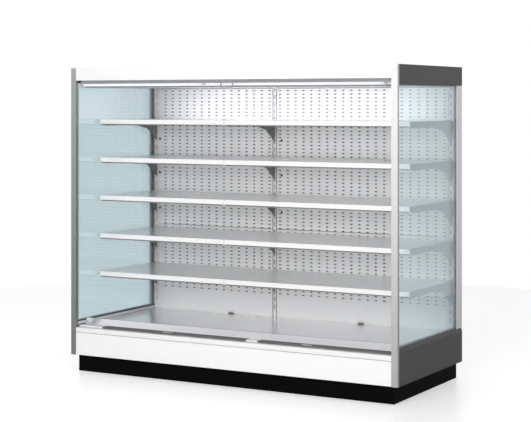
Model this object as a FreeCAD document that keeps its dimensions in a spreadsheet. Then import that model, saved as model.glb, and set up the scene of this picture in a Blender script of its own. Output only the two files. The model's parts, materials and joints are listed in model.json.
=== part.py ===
"""Open multideck display fridge: a parametric assembly of separate pieces, in millimetres.

X runs along the cabinet, Y from the open front to the back, Z up. The origin is on the floor, under
the middle of the cabinet. Outlines are drawn with "depth" counted from the front face of the cabinet.
"""
import FreeCAD
import Part
import Sketcher

import math
import os
from types import SimpleNamespace

SIZES = {
    # The whole cabinet
    "overall_width": 2300,
    "overall_depth": 985,
    "overall_height": 1955,
    "end_wall": 40,
    "narrow_bay": 937.5,
    "play": 0.3,
    # Feet, base frame and plinth
    "foot_radius": 25,
    "foot_disc": 9,
    "foot_stud_radius": 8,
    "foot_height": 70,
    "frame_tube": 40,
    "frame_inset": 85,
    "frame_front": 60,
    "frame_rear_gap": 25,
    "cross_member_place": 500,
    "plinth_clearance": 4,
    "plinth_setback": 46,
    "plinth_side_setback": 53,
    "plinth_return": 86,
    "plinth_rear_gap": 5,
    "plinth_sheet": 1.5,
    "plinth_flange": 25,
    # Insulated tub, rear wall and roof
    "tub_front": 14,
    "tub_wall": 30,
    "tub_front_height": 266,
    "tub_rear_height": 250,
    "tub_floor": 152,
    "tub_floor_rise": 14,
    "tub_floor_front": 250,
    "tub_floor_rear_gap": 145,
    "rear_wall": 30,
    "roof_drop": 80,
    "roof_thickness": 40,
    "drain_depth": 500,
    "drain_radius": 20,
    "drain_bore": 17,
    "drain_collar_radius": 26,
    "drain_collar_height": 3,
    # Front panel and bumper
    "sheet": 1.5,
    "front_panel_gap": 2,
    "bumper_wall": 3,
    "bumper_height": 37,
    "bumper_depth": 33,
    "bumper_rounding": 7,
    "ledge_depth": 12,
    "ledge_drop": 10,
    # Air inlet
    "grille_front": 34,
    "grille_rear": 92,
    "grille_thickness": 5,
    "grille_margin": 7,
    "grille_window": 28,
    "grille_pitch": 36,
    "inlet_cover_length": 180,
    "divider_left": 130,
    "divider_width": 80,
    "inlet_cover_lip": 8,
    # Deck pans
    "deck_front": 94,
    "deck_nose_front": 116,
    "deck_nose_rear": 130,
    "deck_step_rear": 142,
    "deck_rear_gap": 2,
    "deck_nose_rise": 32,
    "deck_sheet": 2,
    "deck_end_gap": 2,
    "deck_split_gap": 1,
    "deck_rear_flange": 20,
    "notch_place": 485,
    "notch_width": 60,
    "notch_depth": 10,
    "deck_rail_width": 16,
    "deck_rail_height": 20,
    # Fans
    "fan_tilt": 45,
    "fan_plate_front": 100,
    "fan_plate_length": 190,
    "fan_plate_sheet": 2,
    "fan_plate_flange": 12,
    "fan_place": 98,
    "fan_spacing": 700,
    "fan_hole_radius": 70,
    "fan_collar_wall": 3,
    "fan_collar_height": 18,
    "fan_hub_radius": 25,
    "fan_hub_height": 18,
    "fan_start": 3,
    "blade_root_place": 20,
    "blade_root_run": 14,
    "blade_pitch": 22,
    "blade_tip_place": 60,
    "blade_tip_radius": 66,
    "blade_tip_run": 20,
    "blade_sweep": 6,
    "blade_thickness": 2,
    "shaft_radius": 3,
    "shaft_length": 50,
    "shaft_clearance": 0.08,
    "motor_radius": 30,
    "motor_height": 47,
    "motor_gap": 6,
    "motor_end": 3,
    "motor_arm_reach": 84,
    "motor_arm_width": 8,
    # Evaporator
    "coil_end_gap": 110,
    "coil_front": 300,
    "coil_depth": 460,
    "coil_height": 133,
    "coil_spine": 16,
    "fin_gap": 32,
    "fin_pitch": 48,
    "coil_end_plate": 22,
    "bend_radius": 22,
    "coil_tube_radius": 6,
    "coil_tube_rise": 73,
    "suction_radius": 11,
    "liquid_radius": 5,
    "pipe_bend": 40,
    "suction_gap": 65,
    "liquid_gap": 95,
    "liquid_drop": 40,
    "pipe_gap": 18,
    "pipe_sleeve": 1.5,
    "pipe_top_gap": 8,
    "socket_length": 30,
    "socket_depth": 20,
    "pipe_hole_gap": 1,
    # Back wall
    "rear_duct": 35,
    "back_flange": 14,
    "back_seam": 890,
    "back_foot": 286,
    "back_top_gap": 2,
    "seam_gap": 1,
    "upright_width": 30,
    "upright_sheet": 2,
    "upright_foot": 170,
    "slot_line_inset": 16.25,
    "slot_width": 5,
    "slot_height": 28,
    "slot_pitch": 50,
    "first_slot": 372.5,
    # Shelves
    "first_shelf": 622.5,
    "shelf_spacing": 250,
    "shelf_front": 262,
    "shelf_rear_gap": 8,
    "shelf_sheet": 1.2,
    "shelf_lip": 34,
    "shelf_lip_return": 18,
    "shelf_rear_lip": 20,
    "shelf_end_gap": 4,
    "shelf_middle_gap": 2,
    "rail_height": 36,
    "rail_thickness": 4,
    "rail_recess": 1,
    "rail_edge": 4,
    "rail_corner": 12,
    "bracket_sheet": 3,
    "bracket_front": 285,
    "bracket_root_length": 270,
    "bracket_height": 40,
    "bracket_root_height": 150,
    "bracket_flange": 12,
    "bracket_flange_sheet": 2,
    "bracket_curve_drop": 27,
    "bracket_curve_place": 120,
    "hook_height": 20,
    "hook_length": 7,
    # Header
    "fascia_height": 80,
    "fascia_return": 30,
    "ceiling_front": 200,
    "supply_duct": 45,
    "ceiling_upstand": 20,
    "outlet_front": 100,
    "outlet_margin": 8,
    "outlet_window": 36,
    "outlet_pitch": 44,
    "outlet_wall": 2,
    "lamp_radius": 13,
    "lamp_depth": 73,
    "lamp_drop": 29,
    "short_lamp": 895,
    "long_lamp": 1200,
    "lamp_holder": 15,
    "lamp_middle_holder": 30,
    "lamp_holder_width": 32,
    "lamp_start": 3,
    "lamp_holder_corner": 6,
    # Electrical box
    "box_left": 700,
    "box_width": 260,
    "box_front": 600,
    "box_depth": 190,
    "box_height": 32,
    "box_lid": 3,
    "box_lid_edge": 3,
    # Night blind
    "cassette_front": 30,
    "cassette_rear": 104,
    "cassette_height": 60,
    "cassette_drop": 15,
    "cassette_slot": 17,
    "cassette_end": 2,
    "cassette_end_gap": 1,
    "roller_radius": 25,
    "roller_depth": 66,
    "roller_drop": 32,
    "roller_end_gap": 17,
    "pin_radius": 5,
    "pin_clearance": 0.06,
    "pin_end_gap": 0.4,
    "fabric_thickness": 0.7,
    "fabric_end_gap": 8,
    "bar_end_gap": 10,
    "bar_front": 30,
    "bar_rear": 52,
    "bar_drop": 26,
    "bar_height": 12,
    "bar_rounding": 3,
    "bar_wall": 1.5,
    "handle_place": 487,
    "handle_width": 60,
    "handle_foot": 34,
    "handle_height": 40,
    "handle_sheet": 3,
    "handle_band": 6,
    # End walls
    "front_post": 22,
    "rear_post": 80,
    "post_corner": 3,
    "glass_thickness": 24,
    "pane": 5,
    "glazing_groove": 8,
    "spacer_width": 12,
    "end_panel_height": 340,
    "panel_low": 110,
    "top_panel_height": 117,
    "bead_drop": 20,
    "bead_height": 4,
    "bead_depth": 2,
}

FEET_PER_ROW = (-1, 0, 1)
SHELF_LEVELS = 5
FAN_BLADES = 5
FAN_NAMES = {"fan_left": -1, "fan_centre": 0, "fan_right": 1}
SIDES = {"left": -1, "right": 1}


class Formula:
    """A size known both as a number of millimetres and as the sheet formula that gives it."""

    def __init__(self, value, text):
        self.value = value
        self.text = text

    @staticmethod
    def of(item):
        if isinstance(item, Formula):
            return item
        return Formula(item, repr(item))

    def join(self, sign, other, value):
        return Formula(value, "(" + self.text + " " + sign + " " + other.text + ")")

    def __add__(self, other):
        other = Formula.of(other)
        return self.join("+", other, self.value + other.value)

    def __radd__(self, other):
        return Formula.of(other) + self

    def __sub__(self, other):
        other = Formula.of(other)
        return self.join("-", other, self.value - other.value)

    def __rsub__(self, other):
        return Formula.of(other) - self

    def __mul__(self, other):
        other = Formula.of(other)
        return self.join("*", other, self.value * other.value)

    def __rmul__(self, other):
        return Formula.of(other) * self

    def __truediv__(self, other):
        other = Formula.of(other)
        return self.join("/", other, self.value / other.value)

    def __neg__(self):
        return -1 * self


def cosine(angle):
    return Formula(math.cos(math.radians(angle.value)), "cos(" + angle.text + " * 1 deg)")


def sine(angle):
    return Formula(math.sin(math.radians(angle.value)), "sin(" + angle.text + " * 1 deg)")


def whole(number):
    """The whole part of a formula, for counts of repeated features."""
    return Formula(math.floor(number.value), "floor(" + number.text + ")")


doc = FreeCAD.newDocument("display_fridge")
sheet = doc.addObject("Spreadsheet::Sheet", "Sizes")
for row, (alias, number) in enumerate(SIZES.items(), start=1):
    sheet.set("A" + str(row), alias)
    sheet.set("B" + str(row), str(number))
    sheet.setAlias("B" + str(row), alias)
doc.recompute()
size = SimpleNamespace(**{name: Formula(number, "Sizes." + name) for name, number in SIZES.items()})

# Places that several pieces share
half_width = size.overall_width / 2
inner = half_width - size.end_wall
coil_half = inner - size.coil_end_gap
suction_place = inner - size.suction_gap
liquid_place = inner - size.liquid_gap
front_plane = -size.overall_depth / 2
rear_wall_front = size.overall_depth - size.rear_wall
back_depth = rear_wall_front - size.rear_duct
pipe_depth = back_depth + size.pipe_gap
coil_rear = size.coil_front + size.coil_depth
roof_underside = size.overall_height - size.roof_drop
ceiling_height = roof_underside - size.supply_duct
ceiling_top = ceiling_height + size.ceiling_upstand
back_top = ceiling_height - size.back_top_gap
top_panel_low = size.overall_height - size.top_panel_height
cassette_high = size.overall_height - size.cassette_drop
cassette_low = cassette_high - size.cassette_height
roller_height = cassette_high - size.roller_drop
lamp_height = cassette_low - size.lamp_drop
bar_low = cassette_low - size.bar_drop
bumper_top = size.tub_front_height + size.bumper_height
deck_height = bumper_top
deck_rear = back_depth - size.deck_rear_gap
shelf_rear = back_depth - size.shelf_rear_gap
coil_tube_height = size.tub_floor + size.coil_tube_rise
slot_lines = {
    "left": -inner + size.slot_line_inset,
    "centre": -inner + size.slot_line_inset + size.narrow_bay,
    "right": inner - size.slot_line_inset,
}
grille_height = bumper_top - size.ledge_drop
slope_cos = cosine(size.fan_tilt)
slope_sin = sine(size.fan_tilt)
tub_inside = size.tub_front + size.tub_wall
floor_fall = size.tub_floor_rise / (size.tub_floor_front - tub_inside)
fan_plate_foot = size.tub_floor + floor_fall * (size.tub_floor_front - size.fan_plate_front)

nodes = {}


# ---------------------------------------------------------------- drawing helpers

def bind(item, path, value):
    """Tie one property of an object to the sheet."""
    item.setExpression(path, Formula.of(value).text)


def place(item, x=0, depth=0, height=0):
    """Put an object at x, depth from the front face and height; depth None keeps Y at zero."""
    bind(item, "Placement.Base.x", x)
    bind(item, "Placement.Base.y", front_plane + depth)
    bind(item, "Placement.Base.z", height)


def keep(label, item):
    """Name a finished sub-part; its label is also its file name."""
    item.Label = label
    nodes[label] = item
    return item


def new_body(name):
    return doc.addObject("PartDesign::Body", name)


def origin_plane(body, role):
    return [feature for feature in body.Origin.OriginFeatures if feature.Role == role][0]


def draw(body, role, loops, lift=0):
    """A sketch of closed loops on one of the body's own planes, every corner placed by the sheet."""
    sketch = body.newObject("Sketcher::SketchObject", body.Name + "_sketch")
    sketch.AttachmentSupport = (origin_plane(body, role), [""])
    sketch.MapMode = "FlatFace"
    bind(sketch, "AttachmentOffset.Base.z", lift)
    for loop in loops:
        if isinstance(loop, Round):
            add_circle(sketch, loop)
        else:
            add_loop(sketch, loop)
    return sketch


class Round:
    """A circle in a sketch."""

    def __init__(self, across, along, radius):
        self.across = Formula.of(across)
        self.along = Formula.of(along)
        self.radius = Formula.of(radius)


def add_circle(sketch, circle):
    centre = FreeCAD.Vector(circle.across.value, circle.along.value, 0)
    up = FreeCAD.Vector(0, 0, 1)
    edge = sketch.addGeometry(Part.Circle(centre, up, circle.radius.value), False)
    locate(sketch, edge, 3, circle.across, circle.along)
    index = sketch.addConstraint(Sketcher.Constraint("Radius", edge, circle.radius.value))
    bind(sketch, "Constraints[" + str(index) + "]", circle.radius)


def locate(sketch, edge, end, across, along):
    """Place one end of a sketch edge by its distances from the sketch's origin."""
    for kind, value in (("DistanceX", across), ("DistanceY", along)):
        index = sketch.addConstraint(Sketcher.Constraint(kind, -1, 1, edge, end, value.value))
        bind(sketch, "Constraints[" + str(index) + "]", value)


def arc_between(start, end, radius, turn):
    """The arc from start to end; turn is 1 to the left of the way and -1 to the right."""
    chord = end - start
    half = chord.Length / 2
    reach = math.sqrt(max(radius * radius - half * half, 0))
    side = FreeCAD.Vector(-chord.y, chord.x, 0).normalize() * turn
    centre = start + chord * 0.5 + side * reach
    middle = centre - side * radius
    return Part.Arc(start, middle, end)


def add_loop(sketch, loop):
    """Straight edges through the points; a point (across, along, radius, turn) starts an arc."""
    points = [[Formula.of(value) for value in point] for point in loop]
    spots = [FreeCAD.Vector(point[0].value, point[1].value, 0) for point in points]
    edges = []
    for index, point in enumerate(points):
        start = spots[index]
        end = spots[(index + 1) % len(spots)]
        if len(point) == 2:
            edge = sketch.addGeometry(Part.LineSegment(start, end), False)
            edges.append((edge, 1, 2))
            continue
        turn = point[3].value
        edge = sketch.addGeometry(arc_between(start, end, point[2].value, turn), False)
        edges.append((edge, 1, 2) if turn > 0 else (edge, 2, 1))
    for index, (edge, first, last) in enumerate(edges):
        following = edges[(index + 1) % len(edges)]
        sketch.addConstraint(Sketcher.Constraint("Coincident", edge, last, following[0], following[1]))
    for (edge, first, last), point in zip(edges, points):
        locate(sketch, edge, first, point[0], point[1])
        if len(point) > 2:
            radius = sketch.addConstraint(Sketcher.Constraint("Radius", edge, point[2].value))
            bind(sketch, "Constraints[" + str(radius) + "]", point[2])


def add_pad(body, sketch, length, backwards=False):
    pad = body.newObject("PartDesign::Pad", body.Name + "_pad")
    pad.Profile = sketch
    pad.Reversed = backwards
    bind(pad, "Length", length)
    return pad


def add_pocket(body, sketch, both=False):
    """A pocket through everything on the far side of its sketch, or on both sides of it."""
    pocket = body.newObject("PartDesign::Pocket", body.Name + "_pocket")
    pocket.Profile = sketch
    pocket.Type = "ThroughAll"
    pocket.Midplane = both
    return pocket


def add_row(body, feature, sketch, direction, pitch, count):
    """Repeat a feature in a line along one of its sketch's own axes."""
    row_pattern = body.newObject("PartDesign::LinearPattern", body.Name + "_row")
    row_pattern.Originals = [feature]
    row_pattern.Direction = (sketch, [direction])
    row_pattern.Mode = "Spacing"
    bind(row_pattern, "Offset", pitch)
    bind(row_pattern, "Occurrences", count)
    body.Tip = row_pattern
    return row_pattern


def side_profile(name, loops, low_x, high_x):
    """Outlines in depth and height, run along the cabinet from low_x to high_x."""
    body = new_body(name)
    add_pad(body, draw(body, "YZ_Plane", loops), high_x - low_x)
    place(body, x=low_x)
    return body


def front_profile(name, loops, low_depth, high_depth):
    """Outlines in x and height, run from low_depth back to high_depth."""
    body = new_body(name)
    add_pad(body, draw(body, "XZ_Plane", loops), high_depth - low_depth, backwards=True)
    place(body, depth=low_depth)
    return body


def plan_profile(name, loops, low_height, high_height):
    """Outlines in x and depth, run up from low_height to high_height."""
    body = new_body(name)
    add_pad(body, draw(body, "XY_Plane", loops), high_height - low_height)
    place(body, height=low_height)
    return body


def rectangle(low_across, low_along, high_across, high_along):
    return [
        (low_across, low_along),
        (high_across, low_along),
        (high_across, high_along),
        (low_across, high_along),
    ]


def block(name, low, high):
    """A plain block between two corners, each an x, a depth and a height."""
    item = doc.addObject("Part::Box", name)
    bind(item, "Length", high[0] - low[0])
    bind(item, "Width", high[1] - low[1])
    bind(item, "Height", high[2] - low[2])
    place(item, *low)
    return item


def cylinder(name, radius, length, x, depth, height, along="up"):
    """A round bar that starts at a point and runs up, or along the cabinet."""
    item = doc.addObject("Part::Cylinder", name)
    bind(item, "Radius", radius)
    bind(item, "Height", length)
    if along == "right":
        item.Placement = FreeCAD.Placement(FreeCAD.Vector(), FreeCAD.Rotation(FreeCAD.Vector(0, 1, 0), 90))
    if along == "back":
        item.Placement = FreeCAD.Placement(FreeCAD.Vector(), FreeCAD.Rotation(FreeCAD.Vector(1, 0, 0), -90))
    place(item, x, depth, height)
    return item


def cut(name, base, tools):
    """The base less its tools."""
    if len(tools) > 1:
        tool = fuse(name + "_tools", tools)
    else:
        tool = tools[0]
    item = doc.addObject("Part::Cut", name)
    item.Base = base
    item.Tool = tool
    return item


def fuse(name, shapes):
    item = doc.addObject("Part::MultiFuse", name)
    item.Shapes = shapes
    item.Refine = True
    return item


def group(name, members):
    """Separate solids that share one node."""
    item = doc.addObject("Part::Compound", name)
    item.Links = members
    return item


def outward(side, low, high):
    """The lower and higher x of a stretch from low to high on one side of the cabinet."""
    if side > 0:
        return low, high
    return -high, -low


# ---------------------------------------------------------------- base

def make_levelling_feet():
    feet = []
    rail = size.frame_tube / 2
    place_x = half_width - size.frame_inset - rail
    front = size.frame_front + rail
    rear = size.overall_depth - size.frame_rear_gap - rail
    for column in FEET_PER_ROW:
        for depth in (front, rear):
            foot = new_body("levelling_foot")
            outline = [
                (0, 0),
                (size.foot_radius, 0),
                (size.foot_radius, size.foot_disc),
                (size.foot_stud_radius, size.foot_disc),
                (size.foot_stud_radius, size.foot_height),
                (0, size.foot_height),
            ]
            turning = foot.newObject("PartDesign::Revolution", "levelling_foot_turning")
            sketch = draw(foot, "XZ_Plane", [outline])
            turning.Profile = sketch
            turning.ReferenceAxis = (sketch, ["V_Axis"])
            turning.Angle = 360
            place(foot, x=column * place_x, depth=depth)
            feet.append(foot)
    keep("levelling_feet", group("levelling_feet", feet))


def make_base_frame():
    outer_x = half_width - size.frame_inset
    rear = size.overall_depth - size.frame_rear_gap
    front_hole = size.frame_front + size.frame_tube
    rear_hole = rear - size.frame_tube
    half_tube = size.frame_tube / 2
    cross = size.cross_member_place
    loops = [
        rectangle(-outer_x, size.frame_front, outer_x, rear),
        rectangle(-outer_x + size.frame_tube, front_hole, -cross - half_tube, rear_hole),
        rectangle(-cross + half_tube, front_hole, cross - half_tube, rear_hole),
        rectangle(cross + half_tube, front_hole, outer_x - size.frame_tube, rear_hole),
    ]
    top = size.foot_height + size.frame_tube
    keep("base_frame", plan_profile("base_frame", loops, size.foot_height, top))


def make_plinth():
    outer = half_width - size.plinth_side_setback
    within = outer - size.plinth_sheet
    corner_end = size.plinth_setback + size.plinth_return
    front_inside = size.plinth_setback + size.plinth_sheet
    loop = [
        (-outer, corner_end),
        (-outer, size.plinth_setback),
        (outer, size.plinth_setback),
        (outer, corner_end),
        (within, corner_end),
        (within, front_inside),
        (-within, front_inside),
        (-within, corner_end),
    ]
    low = size.plinth_clearance
    high = size.panel_low
    keep("plinth_front", plan_profile("plinth_front", [loop], low, high))
    sides = []
    for name, side in SIDES.items():
        flange = side * (outer - size.plinth_flange)
        loop = [
            (side * outer, low),
            (side * outer, high),
            (flange, high),
            (flange, high - size.plinth_sheet),
            (side * within, high - size.plinth_sheet),
            (side * within, low),
        ]
        rear = size.overall_depth - size.plinth_rear_gap
        sides.append(front_profile("plinth_" + name, [loop], corner_end + size.play, rear))
    keep("plinth_sides", group("plinth_sides", sides))


def make_tub():
    rear = size.overall_depth
    high_floor = size.tub_floor + size.tub_floor_rise
    loop = [
        (size.tub_front, size.panel_low),
        (rear, size.panel_low),
        (rear, size.tub_rear_height),
        (rear_wall_front, size.tub_rear_height),
        (rear_wall_front, high_floor),
        (rear_wall_front - size.tub_floor_rear_gap, size.tub_floor),
        (size.tub_floor_front, size.tub_floor),
        (tub_inside, high_floor),
        (tub_inside, size.tub_front_height),
        (size.tub_front, size.tub_front_height),
    ]
    tub = side_profile("tub_section", [loop], -inner, inner)
    hole = cylinder("drain_hole", size.drain_radius, size.tub_floor, 0, size.drain_depth, size.panel_low)
    keep("base_tub", cut("base_tub", tub, [hole]))


def make_drain_outlet():
    low = size.foot_height
    pipe = Round(0, size.drain_depth, size.drain_radius)
    bore = Round(0, size.drain_depth, size.drain_bore)
    tube = plan_profile("drain_tube", [pipe, bore], low, size.tub_floor)
    rim = Round(0, size.drain_depth, size.drain_collar_radius)
    collar = plan_profile("drain_collar", [rim, bore], size.panel_low - size.drain_collar_height,
                          size.panel_low)
    keep("drain_outlet", fuse("drain_outlet", [tube, collar]))


def make_front_panel():
    low = size.panel_low + size.front_panel_gap
    high = size.tub_front_height - size.front_panel_gap
    loop = [
        (0, low),
        (size.tub_front, low),
        (size.tub_front, low + size.sheet),
        (size.sheet, low + size.sheet),
        (size.sheet, high - size.sheet),
        (size.tub_front, high - size.sheet),
        (size.tub_front, high),
        (0, high),
    ]
    keep("lower_front_panel", side_profile("lower_front_panel", [loop], -inner, inner))


def make_bumper_cap():
    wall = size.bumper_wall
    low = size.tub_front_height
    top = bumper_top
    outer = size.bumper_rounding
    within = outer - wall
    loop = [
        (0, low),
        (tub_inside, low),
        (tub_inside, low + wall),
        (wall, low + wall),
        (wall, top - outer, within, -1),
        (outer, top - wall),
        (size.bumper_depth - wall, top - wall),
        (size.bumper_depth - wall, grille_height - wall),
        (size.bumper_depth + size.ledge_depth, grille_height - wall),
        (size.bumper_depth + size.ledge_depth, grille_height - size.play),
        (size.bumper_depth, grille_height - size.play),
        (size.bumper_depth, top),
        (outer, top, outer, 1),
        (0, top - outer),
    ]
    keep("bumper_cap", side_profile("bumper_cap", [loop], -inner, inner))


# ---------------------------------------------------------------- air inlet and deck

def make_slotted_plate(name, low_x, high_x, low_depth, high_depth, low, thickness, margin, window, pitch):
    """A flat plate with a row of cross slots, centred on its length."""
    body = plan_profile(name, [rectangle(low_x, low_depth, high_x, high_depth)], low, low + thickness)
    count = whole((high_x - low_x - 2 * margin) / pitch)
    slack = high_x - low_x - (count - 1) * pitch - window
    first = low_x + slack / 2
    slot = rectangle(first, low_depth + margin, first + window, high_depth - margin)
    sketch = draw(body, "XY_Plane", [slot], lift=thickness)
    add_row(body, add_pocket(body, sketch), sketch, "H_Axis", pitch, count)
    return body


def make_inlet():
    gap = size.deck_end_gap
    cover_end = -inner + size.inlet_cover_length
    divider_end = size.divider_left + size.divider_width
    spans = {
        "inlet_grille_left": (cover_end + gap, size.divider_left - gap),
        "inlet_grille_right": (divider_end + gap, inner - gap),
    }
    for name, (low_x, high_x) in spans.items():
        plate = make_slotted_plate(name, low_x, high_x, size.grille_front, size.grille_rear,
                                   grille_height, size.grille_thickness, size.grille_margin,
                                   size.grille_window, size.grille_pitch)
        keep(name, plate)
    covers = []
    high = grille_height + size.grille_thickness
    low = grille_height - size.play
    front = size.grille_front
    rear = size.grille_rear
    lip = size.inlet_cover_lip
    front_lip = size.bumper_depth + size.ledge_depth + size.play
    loop = [
        (front, low),
        (front_lip, low),
        (front_lip, low - lip),
        (front_lip + size.sheet, low - lip),
        (front_lip + size.sheet, high - size.sheet),
        (rear, high - size.sheet),
        (rear, high),
        (front, high),
    ]
    for name, low_x, high_x in (("cover", -inner, cover_end), ("divider", size.divider_left, divider_end)):
        covers.append(side_profile("inlet_" + name, [loop], low_x, high_x))
    keep("inlet_end_covers", group("inlet_end_covers", covers))


def make_deck():
    wall = size.deck_sheet
    top = deck_height
    nose = top + size.deck_nose_rise
    rear_foot = top - size.deck_rear_flange
    loop = [
        (size.deck_front, grille_height),
        (size.deck_nose_front, nose),
        (size.deck_nose_rear, nose),
        (size.deck_step_rear, top),
        (deck_rear, top),
        (deck_rear, rear_foot),
        (deck_rear - wall, rear_foot),
        (deck_rear - wall, top - wall),
        (size.deck_step_rear - wall, top - wall),
        (size.deck_nose_rear - wall, nose - wall),
        (size.deck_nose_front + wall, nose - wall),
        (size.deck_front + wall, grille_height),
    ]
    middle = size.deck_split_gap / 2
    for name, side in SIDES.items():
        low_x, high_x = outward(side, middle, inner - size.deck_end_gap)
        pan = side_profile("deck_section_" + name, [loop], low_x, high_x)
        centre = side * size.notch_place
        half_notch = size.notch_width / 2
        notch = block("finger_notch_" + name,
                      (centre - half_notch, deck_rear - size.notch_depth, rear_foot - wall),
                      (centre + half_notch, deck_rear + wall, top + wall))
        keep("deck_pan_" + name, cut("deck_pan_" + name, pan, [notch]))


def make_deck_supports():
    wall = size.deck_sheet
    top = grille_height - size.play
    width = size.deck_rail_width
    drop = size.deck_rail_height
    front = size.grille_rear - width / 2
    loop = [
        (front, top),
        (front + width, top),
        (front + width, top - drop),
        (front + width - wall, top - drop),
        (front + width - wall, top - wall),
        (front, top - wall),
    ]
    rear_top = deck_height - size.deck_rear_flange - size.play
    rear = back_depth
    rear_loop = [
        (rear, rear_top),
        (rear - width, rear_top),
        (rear - width, rear_top - wall),
        (rear - wall, rear_top - wall),
        (rear - wall, rear_top - drop),
        (rear, rear_top - drop),
    ]
    rails = [
        side_profile("deck_front_rail", [loop], -inner, inner),
        side_profile("deck_rear_rail", [rear_loop], -inner, inner),
    ]
    keep("deck_supports", group("deck_supports", rails))


# ---------------------------------------------------------------- evaporator and fans

def tilt(body, x, along):
    """Seat a body on the sloping fan plate, at x and a distance up the slope."""
    body.Placement = FreeCAD.Placement(FreeCAD.Vector(), FreeCAD.Rotation(FreeCAD.Vector(1, 0, 0), 45))
    bind(body, "Placement.Rotation.Angle", size.fan_tilt * Formula(1, "1 deg"))
    place(body, x, size.fan_plate_front + along * slope_cos, fan_plate_foot + along * slope_sin)


def make_fan_plate():
    body = new_body("fan_plate")
    reach = inner - size.deck_end_gap
    wall = size.fan_plate_sheet
    length = size.fan_plate_length
    holes = [Round(number * size.fan_spacing, size.fan_place, size.fan_hole_radius)
             for number in FAN_NAMES.values()]
    add_pad(body, draw(body, "XY_Plane", [rectangle(-reach, 0, reach, length)] + holes), wall)
    rim = size.fan_hole_radius + size.fan_collar_wall
    rims = []
    for number in FAN_NAMES.values():
        rims.append(Round(number * size.fan_spacing, size.fan_place, rim))
    add_pad(body, draw(body, "XY_Plane", rims + holes), size.fan_collar_height)
    flange = draw(body, "XY_Plane", [rectangle(-reach, length - wall, reach, length)])
    add_pad(body, flange, size.fan_plate_flange, backwards=True)
    tilt(body, 0, 0)
    keep("fan_plate", body)


def make_fan_motors():
    motors = []
    foot = -(size.motor_gap + size.motor_height)
    bore = size.shaft_radius + size.shaft_clearance
    for number in FAN_NAMES.values():
        body = new_body("fan_motor")
        casing = [
            (0, foot),
            (size.motor_radius, foot),
            (size.motor_radius, -size.motor_gap),
            (bore, -size.motor_gap),
            (bore, foot + size.motor_end),
            (0, foot + size.motor_end),
        ]
        sketch = draw(body, "XZ_Plane", [casing])
        turning = body.newObject("PartDesign::Revolution", "motor_turning")
        turning.Profile = sketch
        turning.ReferenceAxis = (sketch, ["V_Axis"])
        turning.Angle = 360
        half_arm = size.motor_arm_width / 2
        start = size.motor_radius - half_arm
        arm = [
            (start, -size.motor_gap - half_arm),
            (size.motor_arm_reach, -half_arm),
            (size.motor_arm_reach, 0),
            (start, -size.motor_gap),
        ]
        for turned in (False, True):
            for side in (-1, 1):
                points = [(side * across, along) for across, along in arm]
                plane = "YZ_Plane" if turned else "XZ_Plane"
                drawing = draw(body, plane, [points], lift=-half_arm)
                add_pad(body, drawing, size.motor_arm_width)
        tilt(body, number * size.fan_spacing, size.fan_place)
        motors.append(body)
    keep("fan_motors", group("fan_motors", motors))


def make_fans():
    middle = size.fan_start + size.fan_hub_height / 2
    shaft_foot = size.fan_start - size.shaft_length
    top = size.fan_start + size.fan_hub_height
    for name, number in FAN_NAMES.items():
        body = new_body(name)
        hub = [
            (0, shaft_foot),
            (size.shaft_radius, shaft_foot),
            (size.shaft_radius, size.fan_start),
            (size.fan_hub_radius, size.fan_start),
            (size.fan_hub_radius, top),
            (0, top),
        ]
        sketch = draw(body, "XZ_Plane", [hub])
        turning = body.newObject("PartDesign::Revolution", name + "_hub")
        turning.Profile = sketch
        turning.ReferenceAxis = (sketch, ["V_Axis"])
        turning.Angle = 360
        outline = [
            (size.blade_root_place, -size.blade_root_run),
            (size.blade_tip_place, size.blade_sweep - size.blade_tip_run, size.blade_tip_radius, 1),
            (size.blade_tip_place, size.blade_sweep + size.blade_tip_run),
            (size.blade_root_place, size.blade_root_run),
        ]
        sketch = draw(body, "XY_Plane", [outline])
        lean = FreeCAD.Rotation(FreeCAD.Vector(1, 0, 0), SIZES["blade_pitch"])
        sketch.AttachmentOffset = FreeCAD.Placement(FreeCAD.Vector(), lean)
        bind(sketch, "AttachmentOffset.Rotation.Angle", size.blade_pitch * Formula(1, "1 deg"))
        bind(sketch, "AttachmentOffset.Base.z", middle)
        blade = add_pad(body, sketch, size.blade_thickness)
        blade.Midplane = True
        ring = body.newObject("PartDesign::PolarPattern", name + "_blades")
        ring.Originals = [blade]
        ring.Axis = (origin_plane(body, "Z_Axis"), [""])
        ring.Angle = 360
        ring.Occurrences = FAN_BLADES
        body.Tip = ring
        tilt(body, number * size.fan_spacing, size.fan_place)
        keep(name, body)


def make_evaporator():
    half = coil_half
    spine = size.tub_floor + size.coil_spine
    body = front_profile("evaporator_fins", [rectangle(-half, size.tub_floor, half, size.tub_floor + size.coil_height)],
                         size.coil_front, coil_rear)
    count = whole((2 * half - 2 * size.coil_end_plate) / size.fin_pitch)
    slack = 2 * half - (count - 1) * size.fin_pitch - size.fin_gap
    first = -half + slack / 2
    gap = rectangle(first, spine, first + size.fin_gap, size.tub_floor + size.coil_height)
    sketch = draw(body, "XZ_Plane", [gap])
    add_row(body, add_pocket(body, sketch), sketch, "H_Axis", size.fin_pitch, count)
    pieces = [body]
    middle = (size.coil_front + coil_rear) / 2
    for side in SIDES.values():
        bend = doc.addObject("Part::Torus", "return_bend")
        bind(bend, "Radius1", size.bend_radius)
        bind(bend, "Radius2", size.coil_tube_radius)
        bend.Angle3 = 180
        turn = FreeCAD.Rotation(FreeCAD.Vector(0, 0, 1), -90 * side)
        bend.Placement = FreeCAD.Placement(FreeCAD.Vector(), turn)
        place(bend, side * half, middle + side * 3 * size.bend_radius, coil_tube_height)
        pieces.append(bend)
    keep("evaporator_coil", fuse("evaporator_coil", pieces))


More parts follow.
